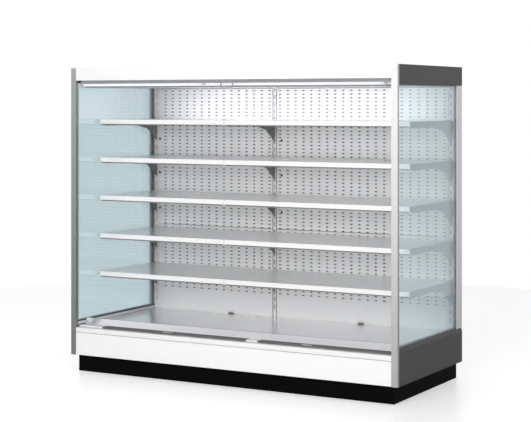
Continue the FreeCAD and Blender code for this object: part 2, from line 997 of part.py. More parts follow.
def make_refrigerant_pipes():
    top = size.overall_height - size.pipe_top_gap
    start = (size.coil_front + coil_rear) / 2
    for name, x, radius, low in (
            ("suction", suction_place, size.suction_radius, coil_tube_height),
            ("liquid", liquid_place, size.liquid_radius, coil_tube_height - size.liquid_drop)):
        body = new_body(name + "_bar")
        bend = size.pipe_bend
        end = pipe_depth - bend
        corner = low + bend
        path = body.newObject("Sketcher::SketchObject", name + "_path")
        path.AttachmentSupport = (origin_plane(body, "YZ_Plane"), [""])
        path.MapMode = "FlatFace"
        trace_path(path, [(start, low), (end, low), (pipe_depth, corner)], bend)
        section = draw(body, "XZ_Plane", [Round(0, low, radius)], lift=-start)
        pipe = body.newObject("PartDesign::AdditivePipe", name + "_run")
        pipe.Profile = section
        pipe.Spine = path
        place(body, x=x)
        sleeve = radius + size.pipe_sleeve
        reach = x - coil_half + sleeve
        link = cylinder(name + "_link", sleeve, reach, coil_half, start, low, along="right")
        elbow = fuse(name + "_elbow", [body, link])
        bar = cylinder(name + "_riser_bar", radius, top - corner, x, pipe_depth, corner)
        socket = cylinder(name + "_socket", sleeve, size.socket_length,
                          x, pipe_depth, top - size.socket_length)
        mouth = cylinder(name + "_mouth", radius, size.socket_depth,
                         x, pipe_depth, top - size.socket_depth)
        line = fuse(name + "_riser_line", [bar, socket])
        riser = cut(name + "_riser", line, [mouth])
        keep(name + "_pipe", group(name + "_pipe", [elbow, riser]))


def trace_path(sketch, points, bend):
    """A straight run and a quarter bend, joined end to end."""
    spots = [FreeCAD.Vector(across.value, along.value, 0) for across, along in points]
    first = sketch.addGeometry(Part.LineSegment(spots[0], spots[1]), False)
    arc = sketch.addGeometry(arc_between(spots[1], spots[2], bend.value, 1), False)
    sketch.addConstraint(Sketcher.Constraint("Coincident", first, 2, arc, 1))
    for edge, end, point in ((first, 1, 0), (first, 2, 1), (arc, 2, 2)):
        locate(sketch, edge, end, points[point][0], points[point][1])
    radius = sketch.addConstraint(Sketcher.Constraint("Radius", arc, bend.value))
    bind(sketch, "Constraints[" + str(radius) + "]", bend)


# ---------------------------------------------------------------- rear wall, roof and back

def make_rear_panel():
    loop = rectangle(rear_wall_front, size.tub_rear_height, size.overall_depth,
                     roof_underside + size.roof_thickness)
    keep("rear_panel", side_profile("rear_panel", [loop], -inner, inner))


def make_roof_panel():
    loops = [rectangle(-inner, size.cassette_rear, inner, rear_wall_front)]
    for x, radius in ((suction_place, size.suction_radius), (liquid_place, size.liquid_radius)):
        loops.append(Round(x, pipe_depth, radius + size.pipe_hole_gap))
    top = roof_underside + size.roof_thickness
    keep("roof_panel", plan_profile("roof_panel", loops, roof_underside, top))


def make_back_panels():
    half_upright = size.upright_width / 2
    spans = {
        "left": (slot_lines["left"] + half_upright, slot_lines["centre"] - half_upright),
        "right": (slot_lines["centre"] + half_upright, slot_lines["right"] - half_upright),
    }
    levels = {
        "upper": (size.back_seam + size.seam_gap / 2, back_top),
        "lower": (size.back_foot, size.back_seam - size.seam_gap / 2),
    }
    front = back_depth
    face = front + size.sheet
    rear = front + size.back_flange
    for level, (low, high) in levels.items():
        for bay, (low_x, high_x) in spans.items():
            loop = [
                (low_x, front),
                (high_x, front),
                (high_x, rear),
                (high_x - size.sheet, rear),
                (high_x - size.sheet, face),
                (low_x + size.sheet, face),
                (low_x + size.sheet, rear),
                (low_x, rear),
            ]
            name = "back_panel_" + level + "_" + bay
            keep(name, plan_profile(name, [loop], low, high))


def make_uprights():
    half = size.upright_width / 2
    front = back_depth
    rear = rear_wall_front
    wall = size.upright_sheet
    for name, line in slot_lines.items():
        channel = [
            (-half, front),
            (half, front),
            (half, rear),
            (half - wall, rear),
            (half - wall, front + wall),
            (wall - half, front + wall),
            (wall - half, rear),
            (-half, rear),
        ]
        body = new_body("upright_" + name)
        height = roof_underside - size.upright_foot
        add_pad(body, draw(body, "XY_Plane", [channel]), height)
        low = size.first_slot - size.upright_foot - size.slot_height / 2
        across = size.slot_width / 2
        slot = rectangle(-across, low, across, low + size.slot_height)
        sketch = draw(body, "XZ_Plane", [slot])
        count = whole((back_top - size.first_slot) / size.slot_pitch) + 1
        add_row(body, add_pocket(body, sketch), sketch, "V_Axis", size.slot_pitch, count)
        place(body, x=line, height=size.upright_foot)
        keep("upright_" + name, body)


# ---------------------------------------------------------------- shelves

def make_shelves():
    wall = size.shelf_sheet
    front = size.shelf_front
    rear = shelf_rear
    half_gap = size.shelf_middle_gap
    middle = slot_lines["centre"]
    spans = {
        "left": (-inner + size.shelf_end_gap, middle - half_gap),
        "right": (middle + half_gap, inner - size.shelf_end_gap),
    }
    rails = []
    for level in range(SHELF_LEVELS):
        top = size.first_shelf + level * size.shelf_spacing
        lip = top - size.shelf_lip
        hem = front + size.shelf_lip_return
        loop = [
            (hem, lip),
            (hem, lip + wall),
            (front + wall, lip + wall),
            (front + wall, top - wall),
            (rear - wall, top - wall),
            (rear - wall, top - size.shelf_rear_lip),
            (rear, top - size.shelf_rear_lip),
            (rear, top),
            (front, top),
            (front, lip),
        ]
        for bay, (low_x, high_x) in spans.items():
            name = "shelf_" + bay + "_" + str(level + 1)
            keep(name, side_profile(name, [loop], low_x, high_x))
            rails.append(make_price_rail(low_x, high_x, top))
    keep("price_rails", group("price_rails", rails))


def make_price_rail(low_x, high_x, top):
    """A price rail: a moulded strip with cut lower corners and a shallow ticket field."""
    low = top - size.rail_height
    corner = size.rail_corner
    outline = [
        (low_x, low + corner),
        (low_x + corner, low),
        (high_x - corner, low),
        (high_x, low + corner),
        (high_x, top),
        (low_x, top),
    ]
    front = size.shelf_front - size.rail_thickness
    body = front_profile("price_rail", [outline], front, size.shelf_front)
    edge = size.rail_edge
    field = rectangle(low_x + corner, low + edge, high_x - corner, top - edge)
    sketch = draw(body, "XZ_Plane", [field])
    recess = body.newObject("PartDesign::Pocket", "ticket_field")
    recess.Profile = sketch
    bind(recess, "Length", size.rail_recess)
    return body


def make_shelf_brackets():
    """Cantilever brackets: a flat-topped arm with a curved underside, and hooks in the uprights."""
    brackets = []
    half = size.bracket_sheet / 2
    face = back_depth - size.play
    bend = face - size.bracket_root_length
    for level in range(SHELF_LEVELS):
        top = size.first_shelf + level * size.shelf_spacing - size.shelf_sheet
        low = top - size.bracket_height
        root = top - size.bracket_root_height
        curve_end = face - size.bracket_curve_place
        curve_low = low - size.bracket_curve_drop
        hook_end = face + size.hook_length
        upper_hook = top + size.shelf_sheet - size.slot_pitch - size.hook_height / 2
        lower_hook = upper_hook - size.slot_pitch
        shelf_end = shelf_rear - size.shelf_sheet - size.play
        shoulder = top - size.shelf_rear_lip - size.play
        arm = [
            (size.bracket_front, top - size.bracket_height / 2),
            (size.bracket_front + size.bracket_height / 2, low),
            (bend, low),
            (curve_end, curve_low),
            (face, root),
            (face, lower_hook),
            (hook_end, lower_hook),
            (hook_end, lower_hook + size.hook_height),
            (face, lower_hook + size.hook_height),
            (face, upper_hook),
            (hook_end, upper_hook),
            (hook_end, upper_hook + size.hook_height),
            (face, upper_hook + size.hook_height),
            (face, shoulder),
            (shelf_end, shoulder),
            (shelf_end, top),
            (size.bracket_front, top),
        ]
        for line in slot_lines.values():
            web = side_profile("bracket_web", [arm], line - half, line + half)
            wide = size.bracket_flange
            flange = block("bracket_flange",
                           (line - wide, size.bracket_front, top - size.bracket_flange_sheet),
                           (line + wide, shelf_end, top))
            brackets.append(fuse("shelf_bracket", [web, flange]))
    keep("shelf_brackets", group("shelf_brackets", brackets))


# ---------------------------------------------------------------- header

def make_fascia():
    high = size.overall_height
    low = high - size.fascia_height
    back = size.fascia_return
    loop = [
        (0, low),
        (back, low),
        (back, low + size.sheet),
        (size.sheet, low + size.sheet),
        (size.sheet, high - size.sheet),
        (back, high - size.sheet),
        (back, high),
        (0, high),
    ]
    keep("fascia", side_profile("fascia", [loop], -inner, inner))


def make_ceiling():
    front = size.ceiling_front
    low = ceiling_height
    rear = back_depth
    loop = [
        (front, low),
        (rear, low),
        (rear, low + size.sheet),
        (front + size.sheet, low + size.sheet),
        (front + size.sheet, ceiling_top),
        (front, ceiling_top),
    ]
    keep("canopy_ceiling", side_profile("canopy_ceiling", [loop], -inner, inner))


def make_outlet():
    front = size.outlet_front
    grid = make_slotted_plate("outlet_grid", -inner, inner, front, size.ceiling_front,
                              ceiling_height, size.ceiling_upstand, size.outlet_margin,
                              size.outlet_window, size.outlet_pitch)
    upstand = block("outlet_upstand", (-inner, front, ceiling_top),
                    (inner, front + size.outlet_wall, cassette_low))
    keep("honeycomb_outlet", fuse("honeycomb_outlet", [grid, upstand]))


def make_lamps():
    holder = size.lamp_holder
    start = -inner + size.lamp_start
    short_start = start + holder
    middle = short_start + size.short_lamp
    long_start = middle + size.lamp_middle_holder
    end = long_start + size.long_lamp
    tubes = [
        cylinder("short_lamp", size.lamp_radius, size.short_lamp, short_start,
                 size.lamp_depth, lamp_height, along="right"),
        cylinder("long_lamp", size.lamp_radius, size.long_lamp, long_start,
                 size.lamp_depth, lamp_height, along="right"),
    ]
    keep("lamp_tubes", group("lamp_tubes", tubes))
    half = size.lamp_holder_width / 2
    corner = size.lamp_holder_corner
    low = lamp_height - half
    loop = [
        (size.lamp_depth - half, low + corner, corner, 1),
        (size.lamp_depth - half + corner, low),
        (size.lamp_depth + half - corner, low, corner, 1),
        (size.lamp_depth + half, low + corner),
        (size.lamp_depth + half, cassette_low),
        (size.lamp_depth - half, cassette_low),
    ]
    spans = ((start, short_start), (middle, long_start), (end, end + holder))
    holders = [side_profile("lamp_holder", [loop], low_x, high_x) for low_x, high_x in spans]
    keep("lamp_holders", group("lamp_holders", holders))


def make_electrical_box():
    low = roof_underside + size.roof_thickness
    high = low + size.box_height
    edge = size.box_lid_edge
    right = size.box_left + size.box_width
    rear = size.box_front + size.box_depth
    case = block("box_case", (size.box_left, size.box_front, low), (right, rear, high))
    lid = block("box_lid", (size.box_left - edge, size.box_front - edge, high),
                (right + edge, rear + edge, high + size.box_lid))
    keep("electrical_box", fuse("electrical_box", [case, lid]))


# ---------------------------------------------------------------- night blind

def make_blind_cassette():
    wall = size.sheet
    front = size.cassette_front
    rear = size.cassette_rear
    low = cassette_low
    high = cassette_high
    slot_end = front + wall + size.cassette_slot
    loop = [
        (front, low),
        (front + wall, low),
        (front + wall, high - wall),
        (rear - wall, high - wall),
        (rear - wall, low + wall),
        (slot_end, low + wall),
        (slot_end, low),
        (rear, low),
        (rear, high),
        (front, high),
    ]
    end = inner - size.cassette_end_gap
    case = side_profile("cassette_case", [loop], -end, end)
    pieces = [case]
    hole = Round(size.roller_depth, roller_height, size.pin_radius + size.pin_clearance)
    for side in SIDES.values():
        low_x, high_x = outward(side, end - size.cassette_end, end)
        plate = [rectangle(front, low, rear, high), hole]
        pieces.append(side_profile("cassette_end", plate, low_x, high_x))
    keep("blind_cassette", fuse("blind_cassette", pieces))


def make_blind_roller():
    reach = inner - size.cassette_end_gap - size.cassette_end - size.roller_end_gap
    pin_reach = inner - size.cassette_end_gap - size.pin_end_gap
    body = new_body("blind_roller")
    outline = [
        (-pin_reach, 0),
        (-pin_reach, size.pin_radius),
        (-reach, size.pin_radius),
        (-reach, size.roller_radius),
        (reach, size.roller_radius),
        (reach, size.pin_radius),
        (pin_reach, size.pin_radius),
        (pin_reach, 0),
    ]
    sketch = draw(body, "XZ_Plane", [outline])
    turning = body.newObject("PartDesign::Revolution", "blind_roller_turning")
    turning.Profile = sketch
    turning.ReferenceAxis = (sketch, ["H_Axis"])
    turning.Angle = 360
    place(body, depth=size.roller_depth, height=roller_height)
    keep("blind_roller", body)


def make_blind_fabric():
    rear = size.roller_depth - size.roller_radius - size.play
    front = rear - size.fabric_thickness
    reach = inner - size.cassette_end_gap - size.cassette_end - size.roller_end_gap - size.fabric_end_gap
    low = bar_low + size.bar_height
    keep("blind_fabric", block("blind_fabric", (-reach, front, low), (reach, rear, roller_height)))


def make_blind_bottom_bar():
    front = size.bar_front
    rear = size.bar_rear
    low = bar_low
    high = low + size.bar_height
    corner = size.bar_rounding
    wall = size.bar_wall
    outline = [
        (front, low + corner, corner, 1),
        (front + corner, low),
        (rear - corner, low, corner, 1),
        (rear, low + corner),
        (rear, high),
        (front, high),
    ]
    hollow = rectangle(front + wall, low + wall, rear - wall, high - wall)
    reach = inner - size.bar_end_gap
    bar = side_profile("blind_bar_section", [outline, hollow], -reach, reach)
    half = size.handle_width / 2
    foot = size.handle_foot / 2
    handle_low = high - size.handle_height
    band = size.handle_band
    left = -size.handle_place
    loop = [
        (left - half, high),
        (left - foot, handle_low),
        (left + foot, handle_low),
        (left + half, high),
    ]
    opening = [
        (left - half + 2 * band, high - band),
        (left - foot + band / 2, handle_low + band),
        (left + foot - band / 2, handle_low + band),
        (left + half - 2 * band, high - band),
    ]
    right = size.handle_place
    tab = [
        (right - half, high),
        (right - foot, handle_low),
        (right + foot, handle_low),
        (right + half, high),
    ]
    near = front - size.handle_sheet
    members = [
        bar,
        front_profile("pull_loop", [loop, opening], near, front),
        front_profile("pull_tab", [tab], near, front),
    ]
    keep("blind_bottom_bar", group("blind_bottom_bar", members))


# ---------------------------------------------------------------- end walls

def make_posts():
    glass = (size.end_wall - size.glass_thickness) / 2
    corner = size.post_corner
    fronts = []
    rears = []
    for name, side in SIDES.items():
        near = side * inner
        far = side * half_width
        near_glass = side * (inner + glass)
        far_glass = side * (half_width - glass)
        depth = size.front_post
        groove = depth - size.glazing_groove
        turn = 1 * side
        front_loop = [
            (near, 0),
            (far - side * corner, 0, corner, turn),
            (far, corner),
            (far, depth),
            (far_glass, depth),
            (far_glass, groove),
            (near_glass, groove),
            (near_glass, depth),
            (near, depth),
        ]
        fronts.append(plan_profile("front_post_" + name, [front_loop], size.panel_low, size.overall_height))
        rear = size.overall_depth
        start = rear - size.rear_post
        bottom = start + size.glazing_groove
        rear_loop = [
            (near, start),
            (near_glass, start),
            (near_glass, bottom),
            (far_glass, bottom),
            (far_glass, start),
            (far, start),
            (far, rear - corner, corner, turn),
            (far - side * corner, rear),
            (near, rear),
        ]
        rears.append(plan_profile("rear_post_" + name, [rear_loop],
                                  size.end_panel_height, top_panel_low))
    keep("front_posts", group("front_posts", fronts))
    keep("rear_posts", group("rear_posts", rears))


def make_end_panels():
    glass = (size.end_wall - size.glass_thickness) / 2
    lowers = []
    uppers = []
    for name, side in SIDES.items():
        near = side * inner
        far = side * half_width
        near_glass = side * (inner + glass)
        far_glass = side * (half_width - glass)
        bead = far - side * size.bead_depth
        low = size.panel_low
        high = size.end_panel_height
        groove = high - size.glazing_groove
        bead_low = high - size.bead_drop
        lower_loop = [
            (near, low),
            (far, low),
            (far, bead_low),
            (bead, bead_low),
            (bead, bead_low + size.bead_height),
            (far, bead_low + size.bead_height),
            (far, high),
            (far_glass, high),
            (far_glass, groove),
            (near_glass, groove),
            (near_glass, high),
            (near, high),
        ]
        upper_low = top_panel_low
        upper_groove = upper_low + size.glazing_groove
        upper_loop = [
            (near, upper_low),
            (near_glass, upper_low),
            (near_glass, upper_groove),
            (far_glass, upper_groove),
            (far_glass, upper_low),
            (far, upper_low),
            (far, size.overall_height),
            (near, size.overall_height),
        ]
        depth = size.front_post
        rear = size.overall_depth
        lowers.append(front_profile("end_lower_" + name, [lower_loop], depth, rear))
        uppers.append(front_profile("end_top_" + name, [upper_loop], depth, rear))
    keep("end_lower_panels", group("end_lower_panels", lowers))
    keep("end_top_panels", group("end_top_panels", uppers))


def make_end_glass():
    glass = (size.end_wall - size.glass_thickness) / 2
    front = size.front_post - size.glazing_groove
    rear = size.overall_depth - size.rear_post + size.glazing_groove
    low = size.end_panel_height - size.glazing_groove
    high = top_panel_low + size.glazing_groove
    width = size.spacer_width
    spacers = []
    for name, side in SIDES.items():
        panes = []
        near = inner + glass
        far = half_width - glass
        for start, end in ((near, near + size.pane), (far - size.pane, far)):
            low_x, high_x = outward(side, start, end)
            panes.append(block("pane_" + name, (low_x, front, low), (high_x, rear, high)))
        keep("end_glass_" + name, group("end_glass_" + name, panes))
        low_x, high_x = outward(side, near + size.pane, far - size.pane)
        ring = [
            rectangle(front, low, rear, high),
            rectangle(front + width, low + width, rear - width, high - width),
        ]
        spacers.append(side_profile("glass_spacer_" + name, ring, low_x, high_x))
    keep("glass_spacers", group("glass_spacers", spacers))


# ---------------------------------------------------------------- build, check and write

def check_document():
    """Stop if any object failed to build."""
    for item in doc.Objects:
        if "Invalid" in item.State or "Error" in item.State:
            raise RuntimeError("failed to build: " + item.Label)
    for label, item in nodes.items():
        if item.Shape.isNull() or not item.Shape.isValid():
            raise RuntimeError("not a valid shape: " + label)


def write_nodes():
    os.makedirs("parts", exist_ok=True)
    for label, item in nodes.items():
        item.Shape.exportStep("parts/" + label + ".step")


def main():
    make_levelling_feet()
    make_base_frame()
    make_plinth()
    make_tub()
    make_drain_outlet()
    make_front_panel()
    make_bumper_cap()
    make_inlet()
    make_deck()
    make_deck_supports()
    make_fan_plate()
    make_fan_motors()
    make_fans()
    make_evaporator()
    make_refrigerant_pipes()
    make_rear_panel()
    make_roof_panel()
    make_back_panels()
    make_uprights()
    make_shelves()
    make_shelf_brackets()
    make_fascia()
    make_ceiling()
    make_outlet()
    make_lamps()
    make_electrical_box()
    make_blind_cassette()
    make_blind_roller()
    make_blind_fabric()
    make_blind_bottom_bar()
    make_posts()
    make_end_panels()
    make_end_glass()
    doc.recompute()
    check_document()
    write_nodes()


main()
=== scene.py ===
import json
import math

import bmesh
import bpy
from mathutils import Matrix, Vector


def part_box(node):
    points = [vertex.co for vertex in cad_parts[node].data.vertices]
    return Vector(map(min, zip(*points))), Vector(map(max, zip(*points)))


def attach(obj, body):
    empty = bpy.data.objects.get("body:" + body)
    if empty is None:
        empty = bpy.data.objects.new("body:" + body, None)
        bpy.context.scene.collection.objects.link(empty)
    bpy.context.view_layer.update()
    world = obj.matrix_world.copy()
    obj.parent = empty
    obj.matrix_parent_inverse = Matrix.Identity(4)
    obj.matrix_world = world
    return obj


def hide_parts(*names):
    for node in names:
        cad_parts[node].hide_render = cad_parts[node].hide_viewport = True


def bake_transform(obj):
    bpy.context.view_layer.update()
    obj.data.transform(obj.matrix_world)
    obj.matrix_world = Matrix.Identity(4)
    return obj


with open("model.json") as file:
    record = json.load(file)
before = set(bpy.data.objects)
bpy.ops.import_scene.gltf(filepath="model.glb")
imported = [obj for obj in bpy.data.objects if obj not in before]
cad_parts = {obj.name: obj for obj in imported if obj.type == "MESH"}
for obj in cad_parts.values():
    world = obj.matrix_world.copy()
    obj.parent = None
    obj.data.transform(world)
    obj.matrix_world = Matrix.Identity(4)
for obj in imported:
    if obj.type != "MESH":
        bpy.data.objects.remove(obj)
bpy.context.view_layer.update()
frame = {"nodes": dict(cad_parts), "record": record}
nodes = frame["nodes"]

# Real sizes in metres, in the frame of the CAD model: X along the cabinet, Y to the back, Z up.
DEPTH = 0.985
FRONT = -DEPTH / 2
INNER = 1.110
END_OUTER = 1.150
END_FOOT = 0.110
END_TOP = 0.3235
GLASS_FOOT = 0.3318
POST_REAR = 0.022
SIDES = {"left": -1, "right": 1}
SHELF_LEVELS = 5
SHEET = 0.0012
PLATE = 0.0015


def at(depth):
    """The Y of a depth measured back from the cabinet's front face."""
    return FRONT + depth


# ---------------------------------------------------------------- node tools

def new_material(name):
    """A material with one plain shader, ready for its nodes."""
    mat = bpy.data.materials.new(name)
    mat.use_nodes = True
    tree = mat.node_tree
    tree.nodes.clear()
    out = tree.nodes.new("ShaderNodeOutputMaterial")
    shader = tree.nodes.new("ShaderNodeBsdfPrincipled")
    tree.links.new(shader.outputs["BSDF"], out.inputs["Surface"])
    return mat, tree, shader


def position(tree, scale):
    """Object coordinates, in metres, stretched along each axis."""
    coords = tree.nodes.new("ShaderNodeTexCoord")
    mapping = tree.nodes.new("ShaderNodeMapping")
    mapping.inputs["Scale"].default_value = scale
    tree.links.new(coords.outputs["Object"], mapping.inputs["Vector"])
    return mapping.outputs["Vector"]


def object_axis(tree, axis):
    """One object coordinate, in metres."""
    coords = tree.nodes.new("ShaderNodeTexCoord")
    split = tree.nodes.new("ShaderNodeSeparateXYZ")
    tree.links.new(coords.outputs["Object"], split.inputs["Vector"])
    return split.outputs[axis]


def calculated(tree, operation, value, *others):
    """One step of arithmetic on a value and others, each a number or another value."""
    node = tree.nodes.new("ShaderNodeMath")
    node.operation = operation
    tree.links.new(value, node.inputs[0])
    for place, other in enumerate(others, start=1):
        if isinstance(other, float):
            node.inputs[place].default_value = other
        else:
            tree.links.new(other, node.inputs[place])
    return node.outputs["Value"]


def mixed(tree, share, first, second, mode="MIX"):
    """The first colour where the share is 0 and the second where it is 1."""
    node = tree.nodes.new("ShaderNodeMixRGB")
    node.blend_type = mode
    if isinstance(share, float):
        node.inputs["Fac"].default_value = share
    else:
        tree.links.new(share, node.inputs["Fac"])
    for socket, colour in (("Color1", first), ("Color2", second)):
        if isinstance(colour, tuple):
            node.inputs[socket].default_value = (*colour, 1)
        else:
            tree.links.new(colour, node.inputs[socket])
    return node.outputs["Color"]


def noise(tree, vector, size, detail=2.0, rough=0.5):
    """A drifting number between 0 and 1; a greater size gives finer grain."""
    node = tree.nodes.new("ShaderNodeTexNoise")
    node.inputs["Scale"].default_value = size
    node.inputs["Detail"].default_value = detail
    node.inputs["Roughness"].default_value = rough
    tree.links.new(vector, node.inputs["Vector"])
    return node.outputs["Fac"]


def ramp(tree, value, low, high, start=0.35, end=0.65):
    """A colour that runs from low to high as a value goes from start to end."""
    node = tree.nodes.new("ShaderNodeValToRGB")
    node.color_ramp.elements[0].position = start
    node.color_ramp.elements[1].position = end
    node.color_ramp.elements[0].color = (*low, 1)
    node.color_ramp.elements[1].color = (*high, 1)
    tree.links.new(value, node.inputs["Fac"])
    return node.outputs["Color"]


def levels(tree, value, low, high, start=0.0, end=1.0):
    """A number that runs from low to high as a value goes from start to end."""
    node = tree.nodes.new("ShaderNodeMapRange")
    node.inputs["From Min"].default_value = start
    node.inputs["From Max"].default_value = end
    node.inputs["To Min"].default_value = low
    node.inputs["To Max"].default_value = high
    tree.links.new(value, node.inputs["Value"])
    return node.outputs["Result"]


def bumped(tree, shader, value, strength, distance):
    """Roughens a shader's surface by a value."""
    node = tree.nodes.new("ShaderNodeBump")
    node.inputs["Strength"].default_value = strength
    node.inputs["Distance"].default_value = distance
    tree.links.new(value, node.inputs["Height"])
    tree.links.new(node.outputs["Normal"], shader.inputs["Normal"])


def tinted(colour, factor):
    """A colour made darker or lighter by a factor."""
    return tuple(min(1.0, c * factor) for c in colour)


# ---------------------------------------------------------------- materials

WHITE = (0.945, 0.947, 0.95)
UPRIGHT = (0.90, 0.90, 0.915)
# Planes past which the deck and the brackets are painted lighter, as painted light.
NOSE_DEPTH = 0.143
RIGHT_END = 1.0
FACE_MARGIN = 0.0006


def coated(name, colour, rough=0.42, grain=900, strength=0.08, spread=0.03, sheen=0.5, metal=0.0):
    """Powder coat or moulded plastic: a fine orange peel and a slight drift of colour."""
    mat, tree, shader = new_material(name)
    drift = noise(tree, position(tree, (1, 1, 1)), 2.2, 3)
    tone = ramp(tree, drift, tinted(colour, 1 - spread), tinted(colour, 1 + spread / 2))
    tree.links.new(tone, shader.inputs["Base Color"])
    peel = noise(tree, position(tree, (1, 1, 1)), grain, 2)
    tree.links.new(levels(tree, peel, rough - 0.04, rough + 0.05), shader.inputs["Roughness"])
    bumped(tree, shader, peel, strength, 0.0004)
    shader.inputs["Specular IOR Level"].default_value = sheen
    shader.inputs["Metallic"].default_value = metal
    return mat


def painted_light_beyond_plane(name, colour, painted_lit_colour, beyond, rough=0.4, axis="X", metal=0.0):
    """Powder coat with painted light: another, lighter tone beyond one plane across X or Y."""
    mat, tree, shader = new_material(name)
    past = calculated(tree, "GREATER_THAN", object_axis(tree, axis), beyond)
    tree.links.new(mixed(tree, past, colour, painted_lit_colour), shader.inputs["Base Color"])
    peel = noise(tree, position(tree, (1, 1, 1)), 900, 2)
    tree.links.new(levels(tree, peel, rough - 0.04, rough + 0.05), shader.inputs["Roughness"])
    bumped(tree, shader, peel, 0.04, 0.0004)
    shader.inputs["Metallic"].default_value = metal
    return mat


def painted_shade_look(name, colour, dark, depth, swapped=False):
    """Painted sheet with painted shade: dark on one face, at one depth, or everywhere but on it."""
    mat, tree, shader = new_material(name)
    drift = noise(tree, position(tree, (1, 1, 1)), 2.2, 3)
    tone = ramp(tree, drift, tinted(colour, 0.97), tinted(colour, 1.01))
    near = calculated(tree, "COMPARE", object_axis(tree, "Y"), depth, FACE_MARGIN)
    first, second = (dark, tone) if swapped else (tone, dark)
    tree.links.new(mixed(tree, near, first, second), shader.inputs["Base Color"])
    tree.links.new(levels(tree, drift, 0.38, 0.48), shader.inputs["Roughness"])
    return mat


def brushed(name, colour, rough):
    """Extruded or rolled metal with fine upright lines."""
    mat, tree, shader = new_material(name)
    lines = noise(tree, position(tree, (900, 900, 4)), 1.0, 3, 0.7)
    tone = ramp(tree, lines, tinted(colour, 0.92), tinted(colour, 1.04))
    tree.links.new(tone, shader.inputs["Base Color"])
    tree.links.new(levels(tree, lines, rough - 0.07, rough + 0.08), shader.inputs["Roughness"])
    bumped(tree, shader, lines, 0.05, 0.0002)
    shader.inputs["Metallic"].default_value = 1.0
    return mat


def post_with_painted_light_and_shade(name, left, right, foot):
    """Satin aluminium with painted shade: darker on the left post and towards the floor."""
    mat, tree, shader = new_material(name)
    lines = noise(tree, position(tree, (900, 900, 4)), 1.0, 3, 0.7)
    across = levels(tree, object_axis(tree, "X"), 0.0, 1.0, -1.0, 1.0)
    rise = levels(tree, object_axis(tree, "Z"), 0.0, 1.0, 0.2, 1.9)
    tone = ramp(tree, across, left, right, 0.0, 1.0)
    shade = ramp(tree, rise, (foot, foot, foot), (1, 1, 1), 0.0, 1.0)
    tree.links.new(mixed(tree, 1.0, tone, shade, "MULTIPLY"), shader.inputs["Base Color"])
    tree.links.new(levels(tree, lines, 0.38, 0.5), shader.inputs["Roughness"])
    bumped(tree, shader, lines, 0.05, 0.0002)
    shader.inputs["Metallic"].default_value = 0.35
    shader.inputs["Specular IOR Level"].default_value = 0.3
    return mat


def spangled(name, colour):
    """Galvanised sheet with its crystal spangle."""
    mat, tree, shader = new_material(name)
    cells = tree.nodes.new("ShaderNodeTexVoronoi")
    cells.inputs["Scale"].default_value = 90
    tree.links.new(position(tree, (1, 1, 1)), cells.inputs["Vector"])
    tone = ramp(tree, cells.outputs["Distance"], tinted(colour, 0.85), tinted(colour, 1.1), 0.1, 0.7)
    tree.links.new(tone, shader.inputs["Base Color"])
    tree.links.new(levels(tree, cells.outputs["Distance"], 0.35, 0.5), shader.inputs["Roughness"])
    shader.inputs["Metallic"].default_value = 0.85
    return mat


def glazed(name, colour):
    """Clear float glass with a faint tint."""
    mat, tree, shader = new_material(name)
    drift = noise(tree, position(tree, (1, 1, 0.3)), 1.5, 2)
    tone = ramp(tree, drift, tinted(colour, 0.985), colour)
    tree.links.new(tone, shader.inputs["Base Color"])
    shader.inputs["Roughness"].default_value = 0.0
    shader.inputs["IOR"].default_value = 1.45
    shader.inputs["Transmission Weight"].default_value = 1.0
    return mat


def glowing(name, colour, strength):
    """A lit tube, very slightly uneven along its length."""
    mat, tree, shader = new_material(name)
    flow = noise(tree, position(tree, (1, 1, 1)), 3, 1)
    tone = ramp(tree, flow, tinted(colour, 0.97), colour)
    tree.links.new(tone, shader.inputs["Base Color"])
    tree.links.new(tone, shader.inputs["Emission Color"])
    shader.inputs["Emission Strength"].default_value = strength
    shader.inputs["Roughness"].default_value = 0.3
    return mat


def woven(name, colour):
    """Aluminised blind cloth: a fine plain weave."""
    mat, tree, shader = new_material(name)
    vector = position(tree, (1, 1, 1))
    warp = tree.nodes.new("ShaderNodeTexWave")
    warp.bands_direction = "X"
    warp.inputs["Scale"].default_value = 400
    tree.links.new(vector, warp.inputs["Vector"])
    weft = tree.nodes.new("ShaderNodeTexWave")
    weft.bands_direction = "Z"
    weft.inputs["Scale"].default_value = 400
    tree.links.new(vector, weft.inputs["Vector"])
    weave = calculated(tree, "MULTIPLY", warp.outputs["Fac"], weft.outputs["Fac"])
    tone = ramp(tree, weave, tinted(colour, 0.8), colour, 0.0, 1.0)
    tree.links.new(tone, shader.inputs["Base Color"])
    shader.inputs["Roughness"].default_value = 0.6
    shader.inputs["Metallic"].default_value = 0.2
    bumped(tree, shader, weave, 0.3, 0.0003)
    return mat
